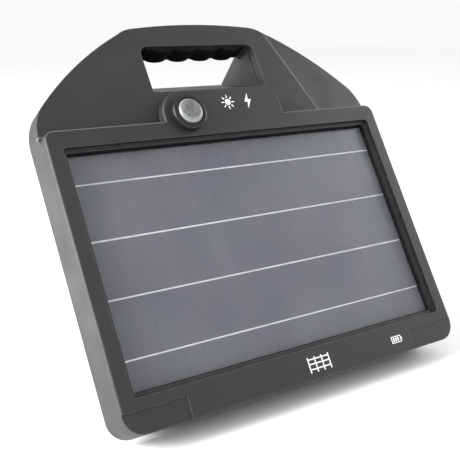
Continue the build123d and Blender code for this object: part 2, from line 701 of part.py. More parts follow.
with BuildPart() as battery_tabs:
    with BuildSketch(Plane.XY.offset(BATTERY_TOP)):
        with Locations((-62, BATTERY_FRONT_Y + 12), (62, BATTERY_FRONT_Y + 12)):
            Rectangle(0.8, 6.3)
    extrude(amount=6)
finish(battery_tabs, "battery_tabs")

with BuildPart() as battery_pad:
    with BuildSketch(Plane.XY.offset(BATTERY_TOP + 0.1)):
        with Locations((0, BATTERY_MIDDLE_Y)):
            Rectangle(96, BATTERY[1] - 8)
    extrude(amount=SHELF_Z - BATTERY_TOP - 0.2)
finish(battery_pad, "battery_pad")

with BuildPart() as board_shelf:
    with BuildSketch(Plane.XY.offset(SHELF_Z)):
        with Locations((0, SHELF_MIDDLE_Y)):
            RectangleRounded(2 * SHELF_HALF, SHELF_DEPTH, 5)
        with Locations(*SHELF_POSTS):
            Circle(1.7, mode=Mode.SUBTRACT)
    extrude(amount=SHELF_THICK)
    with BuildSketch(Plane.XY.offset(SHELF_Z + SHELF_THICK)):
        with Locations(*BOARD_POSTS):
            Circle(3.2)
            Circle(1.2, mode=Mode.SUBTRACT)
    extrude(amount=BOARD_Z - SHELF_Z - SHELF_THICK)
    with BuildSketch(Plane.XY.offset(SHELF_Z - 1)):
        with Locations((-62, -2), (62, -2)):
            RectangleRounded(14, 10, 3)
    extrude(amount=SHELF_THICK + 2, mode=Mode.SUBTRACT)
finish(board_shelf, "board_shelf")

pan_screws("shelf_screws", [upright_seat(SHELF_Z + SHELF_THICK, x, y) for x, y in SHELF_POSTS], 3.2, 2.0, 1.3, 10)

with BuildPart() as circuit_board:
    with BuildSketch(Plane.XY.offset(BOARD_Z)):
        with Locations((0, BOARD_MIDDLE_Y)):
            RectangleRounded(BOARD[0], BOARD[1], 2)
        with Locations(*BOARD_POSTS):
            Circle(1.6, mode=Mode.SUBTRACT)
    extrude(amount=BOARD[2])
finish(circuit_board, "circuit_board")

pan_screws("board_screws", [upright_seat(BOARD_TOP, x, y) for x, y in BOARD_POSTS], 2.8, 1.7, 1.1, 6)

# Pulse transformer: a laminated core round a wound bobbin.
with BuildPart() as transformer_core:
    with BuildSketch(Plane.XY.offset(BOARD_TOP)):
        with Locations((-32, 25)):
            Rectangle(38, 16)
    extrude(amount=28)
    with BuildSketch(Plane.XZ.offset(-40)):
        with Locations((-40.5, BOARD_TOP + 14), (-23.5, BOARD_TOP + 14)):
            Rectangle(9, 18)
    extrude(amount=30, mode=Mode.SUBTRACT)
finish(transformer_core, "transformer_core")

with BuildPart() as transformer_coil:
    with BuildSketch(Plane.XY.offset(BOARD_TOP + 5.3)):
        with Locations((-32, 25)):
            RectangleRounded(24.5, 32, 4)
            Rectangle(8.4, 16.4, mode=Mode.SUBTRACT)
    extrude(amount=17.4)
finish(transformer_coil, "transformer_coil")

with BuildPart() as storage_capacitor:
    with BuildSketch(Plane.YZ.offset(4)):
        with Locations((24, BOARD_TOP + 12.1)):
            Circle(12)
    extrude(amount=42)
    fillet(storage_capacitor.edges().filter_by(GeomType.CIRCLE), 1.5)
finish(storage_capacitor, "storage_capacitor")

with BuildPart() as board_connectors:
    with BuildSketch(Plane.XY.offset(BOARD_TOP)):
        with Locations((-30, 3), (0, 3), (30, 3)):
            Rectangle(12, 7)
    extrude(amount=8)
finish(board_connectors, "board_connectors")

# ---- battery door ------------------------------------------------------------
with BuildPart() as door_seal:
    with BuildSketch(Plane.XZ.offset(-REAR_FACE_Y)):
        with Locations((0, DOORWAY_MIDDLE_Z)):
            RectangleRounded(2 * DOORWAY_HALF + 11, DOORWAY_HEIGHT + 9.6, 6)
            RectangleRounded(2 * DOORWAY_HALF + 3, DOORWAY_HEIGHT + 2.4, 4, mode=Mode.SUBTRACT)
    extrude(amount=-DOOR_SEAL)
finish(door_seal, "door_seal")

with BuildPart() as battery_door:
    with BuildSketch(Plane.XZ.offset(-DOOR_FRONT_Y)):
        with Locations((0.5, DOOR_MIDDLE_Z)):
            RectangleRounded(2 * DOOR_HALF - 1, DOOR_TOP - DOOR_BOTTOM, 6)
    extrude(amount=-DOOR_THICK)
    fillet(battery_door.faces().sort_by(Axis.Y)[-1].edges(), 1.0)
    # locating rim that enters the doorway
    with BuildSketch(Plane.XZ.offset(-DOOR_FRONT_Y)):
        with Locations((0, DOORWAY_MIDDLE_Z)):
            RectangleRounded(2 * DOORWAY_HALF - 4, DOORWAY_HEIGHT - 4, 3)
            RectangleRounded(2 * DOORWAY_HALF - 8, DOORWAY_HEIGHT - 8, 2, mode=Mode.SUBTRACT)
    extrude(amount=3.4)
    # pull at the free edge and three stiffening ribs
    with BuildSketch(Plane.XY.offset(DOOR_MIDDLE_Z - 12)):
        with Locations((DOOR_HALF - 5, DOOR_FRONT_Y + DOOR_THICK + 0.8)):
            RectangleRounded(6, 4.2, 1.5)
    extrude(amount=24)
    with BuildSketch(Plane.XZ.offset(-DOOR_FRONT_Y - DOOR_THICK + 0.4)):
        with Locations(*[(-4, DOOR_MIDDLE_Z + i * 26) for i in (-1, 0, 1)]):
            SlotOverall(130, 5)
    extrude(amount=-1.4)
    # moving knuckles
    for low, high in ((14, KNUCKLE_LOW), (KNUCKLE_HIGH, 106)):
        with BuildSketch(Plane.XY.offset(low)):
            with Locations((HINGE_X, HINGE_Y)):
                Circle(KNUCKLE_RADIUS)
            with Locations((HINGE_X + 3, DOOR_FRONT_Y + DOOR_THICK / 2)):
                Rectangle(6, DOOR_THICK - 0.4)
        extrude(amount=high - low)
    with BuildSketch(Plane.XY.offset(10)):
        with Locations((HINGE_X, HINGE_Y)):
            Circle(HINGE_PIN_RADIUS + RUNNING_GAP)
    extrude(amount=100, mode=Mode.SUBTRACT)
finish(battery_door, "battery_door")

with BuildPart() as hinge_pin:
    with BuildSketch(Plane.XY.offset(12)):
        with Locations((HINGE_X, HINGE_Y)):
            Circle(HINGE_PIN_RADIUS)
    extrude(amount=95)
    with BuildSketch(Plane.XY.offset(106.4)):
        with Locations((HINGE_X, HINGE_Y)):
            Circle(2.7)
    extrude(amount=1.6)
finish(hinge_pin, "hinge_pin")

# ---- hanger ------------------------------------------------------------------
with BuildPart() as post_hanger:
    with BuildSketch(Plane.XY.offset(HANGER_BOTTOM)):
        with BuildLine() as hanger_half:
            Polyline(
                (0, REAR_FACE_Y + HANGER_STAND + 2),
                (33, REAR_FACE_Y + HANGER_STAND + 2),
                (38.5, REAR_FACE_Y + 2),
                (52, REAR_FACE_Y + 2),
                (52, REAR_FACE_Y),
                (37, REAR_FACE_Y),
                (31.6, REAR_FACE_Y + HANGER_STAND),
                (0, REAR_FACE_Y + HANGER_STAND),
            )
            mirror(about=Plane.YZ)
        make_face()
    extrude(amount=HANGER_TOP - HANGER_BOTTOM)
    with BuildSketch(Plane.XZ.offset(-REAR_FACE_Y + 1)):
        for x in (-KEYHOLE_X, KEYHOLE_X):
            with Locations((x, HANGER_BOTTOM + 8)):
                Circle(KEYHOLE_RADIUS)
            with Locations((x, HANGER_BOTTOM + 14)):
                SlotCenterToCenter(12, 5.2, rotation=90)
        with Locations((-HANGER_SCREW_X, HANGER_SCREW_Z), (HANGER_SCREW_X, HANGER_SCREW_Z)):
            Circle(1.8)
    extrude(amount=-20, mode=Mode.SUBTRACT)
finish(post_hanger, "post_hanger")

HANGER_SEATS = [
    Plane(origin=(x, REAR_FACE_Y + 2, HANGER_SCREW_Z), x_dir=(1, 0, 0), z_dir=(0, 1, 0))
    for x in (-HANGER_SCREW_X, HANGER_SCREW_X)
]
pan_screws("hanger_screws", HANGER_SEATS, 3.4, 2.0, 1.5, 12)

# ---- terminals ---------------------------------------------------------------
def terminal(name, x):
    """Stud, insulating bush, clamp washer and knob of one output terminal."""
    with BuildPart() as bush:
        with BuildSketch(overhang_plane(x, 0)):
            Circle(8.5)
        extrude(amount=BUSH_FLANGE)
        with BuildSketch(overhang_plane(x, 0.1)):
            Circle(BUSH_RADIUS)
        extrude(amount=-HUMP_WALL - 1.1)
        with BuildSketch(overhang_plane(x, 5)):
            Circle(STUD_RADIUS + 0.05)
        extrude(amount=-20, mode=Mode.SUBTRACT)
    finish(bush, name + "_bush")

    with BuildPart() as stud:
        with BuildSketch(overhang_plane(x, -HUMP_WALL - 6)):
            Circle(STUD_RADIUS)
        extrude(amount=HUMP_WALL + 6 + THREAD_OUT)
        # plain tip that a lead's clip or eye goes on
        with BuildSketch(overhang_plane(x, THREAD_OUT)):
            Circle(STUD_TIP_RADIUS)
        extrude(amount=STUD_OUT - THREAD_OUT)
        tip_edge = stud.edges().sort_by(Axis(overhang_plane(x, 0).origin, OUTWARD))[-1]
        chamfer(tip_edge, STUD_TIP_CHAMFER)
    finish(stud, name + "_stud")

    with BuildPart() as washer:
        with BuildSketch(overhang_plane(x, WASHER_SEAT)):
            Circle(7.5)
            Circle(STUD_RADIUS + RUNNING_GAP, mode=Mode.SUBTRACT)
        extrude(amount=WASHER_THICK)
    finish(washer, name + "_washer")

    with BuildPart() as knob:
        with BuildSketch(overhang_plane(x, WASHER_SEAT + WASHER_THICK + 0.05)):
            Circle(KNOB_RADIUS)
            with PolarLocations(KNOB_RADIUS + 0.6, 8):
                Circle(2.0, mode=Mode.SUBTRACT)
        extrude(amount=KNOB_THICK)
        knob_top = knob.faces().sort_by(Axis(overhang_plane(x, 0).origin, OUTWARD))[-1]
        chamfer(knob_top.edges(), 0.8)
        with BuildSketch(overhang_plane(x, 0)):
            Circle(STUD_RADIUS + RUNNING_GAP)
        extrude(amount=30, mode=Mode.SUBTRACT)
    finish(knob, name + "_knob")


terminal("fence", -TERMINAL_X)
terminal("earth", TERMINAL_X)

with BuildPart() as terminal_nuts:
    for side in (-1, 1):
        with BuildSketch(overhang_plane(side * TERMINAL_X, -HUMP_WALL - 1.2)):
            RegularPolygon(5, 6, major_radius=False)
            Circle(STUD_RADIUS + 0.05, mode=Mode.SUBTRACT)
        extrude(amount=-NUT_THICK)
finish(terminal_nuts, "terminal_nuts")

# ---- feet --------------------------------------------------------------------
with BuildPart() as rubber_feet:
    with BuildSketch(Plane.XY):
        with Locations(*FEET):
            Circle(9)
    extrude(amount=FOOT_HEIGHT)
    with BuildSketch(Plane.XY.offset(FOOT_HEIGHT)):
        with Locations(*FEET):
            Circle(2.4)
    extrude(amount=4)
finish(rubber_feet, "rubber_feet")
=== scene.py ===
import json
import logging
import math
from dataclasses import dataclass, field
from enum import Enum
from typing import Optional, Protocol, Sequence, Union

import bmesh
import bpy
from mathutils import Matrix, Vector


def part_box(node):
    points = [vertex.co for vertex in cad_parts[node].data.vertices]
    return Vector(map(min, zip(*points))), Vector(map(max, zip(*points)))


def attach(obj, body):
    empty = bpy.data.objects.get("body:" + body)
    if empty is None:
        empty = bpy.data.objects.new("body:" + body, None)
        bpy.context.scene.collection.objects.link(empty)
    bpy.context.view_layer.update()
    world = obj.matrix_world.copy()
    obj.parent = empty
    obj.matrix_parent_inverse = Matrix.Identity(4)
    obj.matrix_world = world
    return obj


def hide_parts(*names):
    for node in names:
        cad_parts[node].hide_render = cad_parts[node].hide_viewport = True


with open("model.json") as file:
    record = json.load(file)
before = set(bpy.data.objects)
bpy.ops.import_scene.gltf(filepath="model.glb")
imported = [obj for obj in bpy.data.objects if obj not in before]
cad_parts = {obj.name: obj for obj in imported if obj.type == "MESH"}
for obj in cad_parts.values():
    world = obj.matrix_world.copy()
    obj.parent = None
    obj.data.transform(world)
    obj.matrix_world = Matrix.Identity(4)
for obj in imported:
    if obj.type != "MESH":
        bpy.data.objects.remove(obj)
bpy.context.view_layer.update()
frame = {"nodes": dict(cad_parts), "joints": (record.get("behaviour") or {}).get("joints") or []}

# Looks of a portable solar fence energizer.  Everything is in metres in the
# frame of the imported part: +X to the right across the solar face, -Y the way
# that face looks, +Z up.

logging.basicConfig(level=logging.INFO, format="%(message)s")
LOG = logging.getLogger("energizer")

MM = 0.001
LEAN = math.radians(32.0)
FRONTWARD = Vector((0.0, -math.cos(LEAN), math.sin(LEAN)))
UP_PANEL = Vector((0.0, math.sin(LEAN), math.cos(LEAN)))
RIGHT = Vector((1.0, 0.0, 0.0))
LEFT = Vector((-1.0, 0.0, 0.0))
UP = Vector((0.0, 0.0, 1.0))

# sockets of Blender's Mix node that carry colours
MIX_FIRST, MIX_SECOND, MIX_RESULT = 6, 7, 2

BEVEL_SAMPLES = 4
EDGE_TURN = (0.9995, 0.975)  # cosines at which a softened normal starts and ends an edge
WALL_TURN = (0.9, 0.4)  # cosines to the face's normal at which a side of the window starts and ends, where the painted shade goes

Colour = tuple[float, float, float]
Point = tuple[float, float]
Socket = bpy.types.NodeSocket
Value = Union[Socket, float, Colour]


class MetalStyle(Enum):
    """How a metal surface was finished."""

    PLATED = "plated"
    BRUSHED = "brushed"
    DRAWN = "drawn"


class Symbol(Enum):
    """Plain pictograms that the mouldings carry."""

    SUN = "sun"
    BOLT = "bolt"
    FENCE = "fence"
    BATTERY = "battery"
    EARTH = "earth"


@dataclass(frozen=True)
class Panel:
    """The leaning panel: x across, d into the housing and h up its face."""

    glass_front: float = 6.9 * MM
    glass_back: float = 8.2 * MM
    glass_bottom: float = 21.0 * MM
    cell_thick: float = 0.3 * MM
    window_middle: float = 104.0 * MM
    outer_step: float = 4.0 * MM
    wall_margin: float = 0.4 * MM

    def origin(self) -> Vector:
        """Point at the front bottom edge, found from the solar glass.

        Returns:
            The place of x = d = h = 0 in the part's frame.
        """
        low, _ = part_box("solar_glass")
        y = low[1] + FRONTWARD.y * self.glass_front - UP_PANEL.y * self.glass_bottom
        z = low[2] + FRONTWARD.z * self.glass_back - UP_PANEL.z * self.glass_bottom
        return Vector((0.0, y, z))

    def point(self, x: float, d: float, h: float) -> Vector:
        """Place on the panel.

        Args:
            x: Distance right of the middle.
            d: Depth behind the front of the frame.
            h: Height up the panel from its bottom edge.

        Returns:
            The point in the part's frame.
        """
        return self.origin() + Vector((x, 0, 0)) - FRONTWARD * d + UP_PANEL * h

    def cells_half(self) -> tuple[float, float]:
        """Size of the cells, found from their box.

        Returns:
            Half their width and half their height up the panel.
        """
        low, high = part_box("solar_cells")
        span = Vector(high) - Vector(low)
        return span[0] / 2, (span[2] - self.cell_thick * math.sin(LEAN)) / math.cos(LEAN) / 2


PANEL = Panel()


@dataclass(frozen=True)
class FaceHighlights:
    """Where painted highlight lines run on the front moulding, as x and h on the panel.

    Attributes:
        crease_low: Lower end of the crease right of the handle.
        crease_high: A point that the crease passes through further up.
        crease_rise: How far the crease runs up from its lower end.
        crease_half: Half its width where it fades out.
        ridge_from: How far from the middle the ridge starts.
        ridge_half: Half the ridge's width where it fades out.
        core_half: Half the width that is fully rubbed.
        deepest: Depth behind the frame at which the lines stop.
    """

    crease_low: Point = (93.0 * MM, 199.0 * MM)
    crease_high: Point = (69.0 * MM, 262.0 * MM)
    crease_rise: float = 72.0 * MM
    crease_half: float = 1.1 * MM
    ridge_height: float = 198.5 * MM
    ridge_from: float = 52.0 * MM
    ridge_half: float = 1.0 * MM
    # core_half: Half the width that gets the full painted highlight.
    core_half: float = 0.3 * MM
    deepest: float = 14.0 * MM
    strength: float = 0.6


FACE_HIGHLIGHTS = FaceHighlights()


class Graph:
    """A node material under construction, with its coordinates and its shader."""

    def __init__(self, name: str) -> None:
        """Start an empty material.

        Args:
            """
        self.material = bpy.data.materials.new(name)
        self.material.use_nodes = True
        self.tree = self.material.node_tree
        self.shader = self.tree.nodes["Principled BSDF"]
        self.place = self.node("ShaderNodeTexCoord").outputs["Object"]

    def node(self, kind: str, **settings: object) -> bpy.types.Node:
        """Add a node.

        Args:
            kind: Blender's name of the node type.
            **settings: Properties to set on it.

        Returns:
            The new node.
        """
        made = self.tree.nodes.new(kind)
        for key, value in settings.items():
            setattr(made, key, value)
        return made

    def feed(self, socket: Socket, value: Value) -> None:
        """Link or set an input.

        Args:
            socket: Input socket.
            value: Another node's output, or a constant.
        """
        if isinstance(value, Socket):
            self.tree.links.new(value, socket)
        elif isinstance(value, tuple) and len(value) == 3 and socket.type == "RGBA":
            socket.default_value = (*value, 1.0)
        else:
            socket.default_value = value

    def noise(
        self,
        scale: float,
        detail: float = 3.0,
        place: Optional[Socket] = None,
        rough: float = 0.5,
    ) -> Socket:
        """Fractal noise.

        Args:
            scale: Features in a metre.
            detail: Octaves.
            place: Coordinates, the object's own if left out.
            rough: Weight of the finer octaves.

        Returns:
            The factor output.
        """
        made = self.node("ShaderNodeTexNoise")
        self.feed(made.inputs["Vector"], place or self.place)
        made.inputs["Scale"].default_value = scale
        made.inputs["Detail"].default_value = detail
        made.inputs["Roughness"].default_value = rough
        return made.outputs["Fac"]

    def grains(self, scale: float, place: Optional[Socket] = None) -> Socket:
        """Pits and pores.

        Args:
            scale: Pores in a metre.
            place: Coordinates, the object's own if left out.

        Returns:
            The distance to the nearest pore.
        """
        made = self.node("ShaderNodeTexVoronoi")
        self.feed(made.inputs["Vector"], place or self.place)
        made.inputs["Scale"].default_value = scale
        return made.outputs["Distance"]

    def calc(self, operation: str, first: Value, second: Value = 0.0) -> Socket:
        """Arithmetic on two values.

        Args:
            operation: Blender's name of the operation.
            first: First value.
            second: Second value.

        Returns:
            The result.
        """
        made = self.node("ShaderNodeMath", operation=operation)
        self.feed(made.inputs[0], first)
        self.feed(made.inputs[1], second)
        return made.outputs[0]

    def ramp(
        self, value: Value, low: float, high: float, start: float = 0.0, end: float = 1.0
    ) -> Socket:
        """Map a value from one range to another, clamped.

        Args:
            value: Value to map.
            low: Low end of its range.
            high: High end of its range.
            start: What the low end becomes.
            end: What the high end becomes.

        Returns:
            The mapped value.
        """
        made = self.node("ShaderNodeMapRange")
        self.feed(made.inputs["Value"], value)
        sockets = ("From Min", "From Max", "To Min", "To Max")
        for socket, number in zip(sockets, (low, high, start, end)):
            made.inputs[socket].default_value = number
        return made.outputs["Result"]

    def blend(self, share: Value, first: Value, second: Value) -> Socket:
        """Mix two colours.

        Args:
            share: How much of the second one.
            first: Colour or output.
            second: Colour or output.

        Returns:
            The mixed colour.
        """
        made = self.node("ShaderNodeMix", data_type="RGBA")
        self.feed(made.inputs["Factor"], share)
        self.feed(made.inputs[MIX_FIRST], first)
        self.feed(made.inputs[MIX_SECOND], second)
        return made.outputs[MIX_RESULT]

    def panel_place(self) -> Socket:
        """Coordinates along the leaning panel.

        Returns:
            A vector with x across, y into and z up the panel.
        """
        made = self.node("ShaderNodeMapping")
        self.feed(made.inputs["Vector"], self.place)
        start = PANEL.origin()
        made.inputs["Rotation"].default_value = (LEAN, 0.0, 0.0)
        made.inputs["Location"].default_value = (0.0, start.dot(FRONTWARD), -start.dot(UP_PANEL))
        return made.outputs["Vector"]

    def split(self, vector: Socket) -> list[Socket]:
        """Split a vector.

        Args:
            vector: Vector output.

        Returns:
            Its x, y and z.
        """
        made = self.node("ShaderNodeSeparateXYZ")
        self.feed(made.inputs[0], vector)
        return list(made.outputs)

    def stretched(self, scale: Sequence[float], place: Optional[Socket] = None) -> Socket:
        """Stretch coordinates.

        Args:
            scale: Factor along each axis.
            place: Coordinates, the object's own if left out.

        Returns:
            The stretched coordinates.
        """
        made = self.node("ShaderNodeMapping")
        self.feed(made.inputs["Vector"], place or self.place)
        made.inputs["Scale"].default_value = scale
        return made.outputs["Vector"]

    def radius_about(self, centre: Vector, axis: Vector) -> Socket:
        """Distance from a line.

        Args:
            centre: A point on the line.
            axis: Direction of the line, of length 1.

        Returns:
            The distance in metres.
        """
        away = self.node("ShaderNodeVectorMath", operation="SUBTRACT")
        self.feed(away.inputs[0], self.place)
        away.inputs[1].default_value = centre
        cross = self.node("ShaderNodeVectorMath", operation="CROSS_PRODUCT")
        self.feed(cross.inputs[0], away.outputs[0])
        cross.inputs[1].default_value = axis
        length = self.node("ShaderNodeVectorMath", operation="LENGTH")
        self.feed(length.inputs[0], cross.outputs[0])
        return length.outputs["Value"]

    def rounded(self, radius: float) -> tuple[Socket, Socket]:
        """Softened edges.

        Args:
            radius: Edge radius in metres.

        Returns:
            The softened normal, and a mask that is 1 on edges.
        """
        bevel = self.node("ShaderNodeBevel", samples=BEVEL_SAMPLES)
        bevel.inputs["Radius"].default_value = radius
        plain = self.node("ShaderNodeNewGeometry").outputs["Normal"]
        dot = self.node("ShaderNodeVectorMath", operation="DOT_PRODUCT")
        self.feed(dot.inputs[0], bevel.outputs["Normal"])
        self.feed(dot.inputs[1], plain)
        return bevel.outputs["Normal"], self.ramp(dot.outputs["Value"], *EDGE_TURN)

    def relief(
        self, height: Value, depth: float, normal: Optional[Socket] = None, strength: float = 1.0
    ) -> Socket:
        """Bumps.

        Args:
            height: Value from 0 to 1.
            depth: What a height of 1 is, in metres.
            normal: Normal to bump, the surface's own if left out.
            strength: Share of the effect.

        Returns:
            The bumped normal.
        """
        made = self.node("ShaderNodeBump")
        made.inputs["Strength"].default_value = strength
        made.inputs["Distance"].default_value = depth
        self.feed(made.inputs["Height"], height)
        if normal is not None:
            self.feed(made.inputs["Normal"], normal)
        return made.outputs["Normal"]

    def finish(self, **inputs: Value) -> bpy.types.Material:
        """Feed the shader.

        Args:
            **inputs: The shader's inputs, with _ for a space.

        Returns:
            The finished material.
        """
        for key, value in inputs.items():
            self.feed(self.shader.inputs[key.replace("_", " ")], value)
        return self.material


def toned(colour: Colour, factor: float, added: float) -> Colour:
    """Scale and lift a colour.

    Args:
        colour: Colour to start from.
        factor: What each channel is multiplied by.
        added: What is then added to it.

    Returns:
        The new colour, at most white.
    """
    return tuple(min(1.0, channel * factor + added) for channel in colour)


class Finish(Protocol):
    """Anything that can build the material of a surface."""

    def material(self) -> bpy.types.Material:
        """Build the material.

        Returns:
            The material.
        """


@dataclass(frozen=True)
class MouldedPlastic:
    """Injection-moulded plastic with a spark-eroded grain, dust and rubbed edges, the edges partly
    real wear and partly a painted highlight.

    Attributes:
        grain: Grains in a metre.
        edge_radius: How far its edges are softened.
        edge_wear_and_highlight: How strongly rubbed edges show, as real wear and as a painted
            highlight along the edges.
        painted_face_light: Whether the walls of the solar window get painted shade and the face's
            lines get painted highlights.
        mottle: Patches of tone in a metre.
        dust: Patches of dust in a metre.
        wear: Rubbed spots in a metre.
        sheen_patch: Patches of roughness in a metre.
        edge_wear_and_highlight_lift: What is added to the colour on a rubbed edge, a painted highlight
            as well as wear.
        wall_shade: Colour of the painted shade on the solar window's walls.
    """

    name: str
    colour: Colour
    grain: float = 1500.0
    grain_depth: float = 0.04 * MM
    roughness: float = 0.46
    edge_radius: float = 0.7 * MM
    edge_wear_and_highlight: float = 0.5
    gloss: float = 0.3
    painted_face_light: bool = False
    mottle: float = 14.0
    dust: float = 70.0
    wear: float = 110.0
    sheen_patch: float = 45.0
    edge_wear_and_highlight_lift: float = 0.13
    wall_shade: Colour = (0.006, 0.006, 0.007)

    def material(self) -> bpy.types.Material:
        """Build the plastic."""
        g = Graph(self.name)
        normal, edge = g.rounded(self.edge_radius)
        tone = g.ramp(g.noise(self.mottle, 4.0), 0.3, 0.7, 0.88, 1.14)
        shade = g.node("ShaderNodeVectorMath", operation="SCALE")
        g.feed(shade.inputs[0], self.colour)
        g.feed(shade.inputs["Scale"], tone)
        dust = g.ramp(g.noise(self.dust, 6.0, rough=0.65), 0.58, 0.8, 0.0, 0.1)
        colour = g.blend(dust, shade.outputs[0], toned(self.colour, 2.2, 0.03))
        # Paler edges: partly real wear, partly a painted highlight where light catches the edges.
        rub = g.calc("MULTIPLY", edge, g.ramp(g.noise(self.wear, 4.0), 0.35, 0.65, 0.3, 1.0))
        wear_and_highlight_tone = toned(self.colour, 1.0, self.edge_wear_and_highlight_lift)
        colour = g.blend(g.calc("MULTIPLY", rub, self.edge_wear_and_highlight), colour, wear_and_highlight_tone)
        if self.painted_face_light:
            # Painted highlights: light lines along the crease right of the handle and along the ridge
            # above the window.
            rubbed = g.calc("MULTIPLY", self.painted_highlight_share(g), FACE_HIGHLIGHTS.strength)
            colour = g.blend(rubbed, colour, wear_and_highlight_tone)
            # Painted shade: the sides of the stepped window are darkened where shade falls.
            colour = g.blend(self.painted_window_shade(g), colour, self.wall_shade)
        patches = g.noise(self.sheen_patch, 5.0)
        rough = g.ramp(patches, 0.3, 0.7, self.roughness - 0.07, self.roughness + 0.09)
        coarse = g.calc("MULTIPLY", g.grains(self.grain * 0.6), 0.5)
        grain = g.calc("ADD", g.noise(self.grain, 2.0), coarse)
        return g.finish(
            Base_Color=colour,
            Roughness=rough,
            Normal=g.relief(grain, self.grain_depth, normal, 0.55),
            Specular_IOR_Level=self.gloss,
        )

    @staticmethod
    def painted_highlight_share(g: Graph) -> Socket:
        """Mask of the painted highlights along the crease beside the handle, on its right, and along
        the ridge above the window.

        Args:
            g: Material under construction.

        Returns:
            1 along those lines, 0 elsewhere.
        """
        lines = FACE_HIGHLIGHTS
        x, d, h = g.split(g.panel_place())
        low_x, low_h = lines.crease_low
        high_x, high_h = lines.crease_high
        run = (low_x - high_x) / (high_h - low_h)
        rise = g.calc("SUBTRACT", h, low_h)
        line = g.calc("SUBTRACT", low_x, g.calc("MULTIPLY", rise, run))
        off = g.calc("ABSOLUTE", g.calc("SUBTRACT", x, line))
        near = g.ramp(off, lines.crease_half, lines.core_half)
        crease = g.calc("MULTIPLY", near, g.calc("GREATER_THAN", rise, 0.0))
        crease = g.calc("MULTIPLY", crease, g.calc("LESS_THAN", rise, lines.crease_rise))
        off_ridge = g.calc("ABSOLUTE", g.calc("SUBTRACT", h, lines.ridge_height))
        outside = g.calc("GREATER_THAN", g.calc("ABSOLUTE", x), lines.ridge_from)
        near_ridge = g.ramp(off_ridge, lines.ridge_half, lines.core_half)
        ridge = g.calc("MULTIPLY", near_ridge, outside)
        both = g.calc("MAXIMUM", crease, ridge)
        return g.calc("MULTIPLY", both, g.calc("LESS_THAN", d, lines.deepest))

    @staticmethod
    def painted_window_shade(g: Graph) -> Socket:
        """Mask of the painted shade on the walls of the stepped solar window.

        Args:
            g: Material under construction.

        Returns:
            1 on those walls, 0 elsewhere.
        """
        x, _, h = g.split(g.panel_place())
        margin = PANEL.outer_step + PANEL.wall_margin
        half_wide, half_tall = (half + margin for half in PANEL.cells_half())
        wide = g.calc("LESS_THAN", g.calc("ABSOLUTE", x), half_wide)
        middle = g.calc("ABSOLUTE", g.calc("SUBTRACT", h, PANEL.window_middle))
        tall = g.calc("LESS_THAN", middle, half_tall)
        facing = g.node("ShaderNodeVectorMath", operation="DOT_PRODUCT")
        g.feed(facing.inputs[0], g.node("ShaderNodeNewGeometry").outputs["Normal"])
        facing.inputs[1].default_value = FRONTWARD
        wall_shade = g.ramp(facing.outputs["Value"], *WALL_TURN)
        return g.calc("MULTIPLY", g.calc("MULTIPLY", wide, tall), wall_shade)


@dataclass(frozen=True)
class SoftRubber:
    """Matt moulded rubber or foam with open pores.

    Attributes:
        edge_radius: How far its edges are softened.
        chalk: Patches of chalky bloom in a metre.
        sheen_patch: Patches of roughness in a metre.
    """

    name: str
    colour: Colour
    pore: float = 900.0
    roughness: float = 0.78
    sheen: float = 0.12
    gloss: float = 0.25
    edge_radius: float = 0.5 * MM
    pore_depth: float = 0.06 * MM
    chalk: float = 90.0
    sheen_patch: float = 60.0

    def material(self) -> bpy.types.Material:
        """Build the rubber."""
        g = Graph(self.name)
        normal, edge = g.rounded(self.edge_radius)
        chalk = g.ramp(g.noise(self.chalk, 5.0), 0.5, 0.8, 0.0, 0.3)
        bloom = g.calc("MAXIMUM", chalk, g.calc("MULTIPLY", edge, 0.3))
        colour = g.blend(bloom, self.colour, toned(self.colour, 2.0, 0.02))
        patches = g.noise(self.sheen_patch)
        rough = g.ramp(patches, 0.3, 0.7, self.roughness - 0.08, self.roughness + 0.08)
        return g.finish(
            Base_Color=colour,
            Roughness=rough,
            Normal=g.relief(g.grains(self.pore), self.pore_depth, normal, 0.6),
            Sheen_Weight=self.sheen,
            Specular_IOR_Level=self.gloss,
        )


@dataclass(frozen=True)
class WorkedMetal:
    """Metal with its working marks, tarnish and rubbed edges.

    Attributes:
        edge_radius: How far its edges are softened.
        tarnish: Patches of tarnish in a metre.
    """

    name: str
    colour: Colour
    style: MetalStyle = MetalStyle.PLATED
    roughness: float = 0.32
    edge_radius: float = 0.3 * MM
    mark_depth: float = 0.02 * MM
    tarnish: float = 130.0

    def material(self) -> bpy.types.Material:
        """Build the metal."""
        g = Graph(self.name)
        normal, edge = g.rounded(self.edge_radius)
        stretch = {
            MetalStyle.PLATED: (900.0, 900.0, 900.0),
            MetalStyle.BRUSHED: (40.0, 900.0, 2400.0),
            MetalStyle.DRAWN: (1600.0, 1600.0, 120.0),
        }[self.style]
        marks = g.noise(1.0, 4.0, g.stretched(stretch))
        tarnish = g.ramp(g.noise(self.tarnish, 5.0), 0.42, 0.75, 0.0, 0.45)
        tarnished = g.blend(tarnish, self.colour, toned(self.colour, 0.55, 0.0))
        rubbed = g.calc("MULTIPLY", edge, 0.6)
        colour = g.blend(rubbed, tarnished, toned(self.colour, 1.3, 0.0))
        worked = g.ramp(marks, 0.3, 0.7, self.roughness - 0.1, self.roughness + 0.1)
        rough = g.calc("ADD", worked, g.calc("MULTIPLY", tarnish, 0.3))
        return g.finish(
            Base_Color=colour,
            Metallic=1.0,
            Roughness=rough,
            Normal=g.relief(marks, self.mark_depth, normal, 0.5),
        )


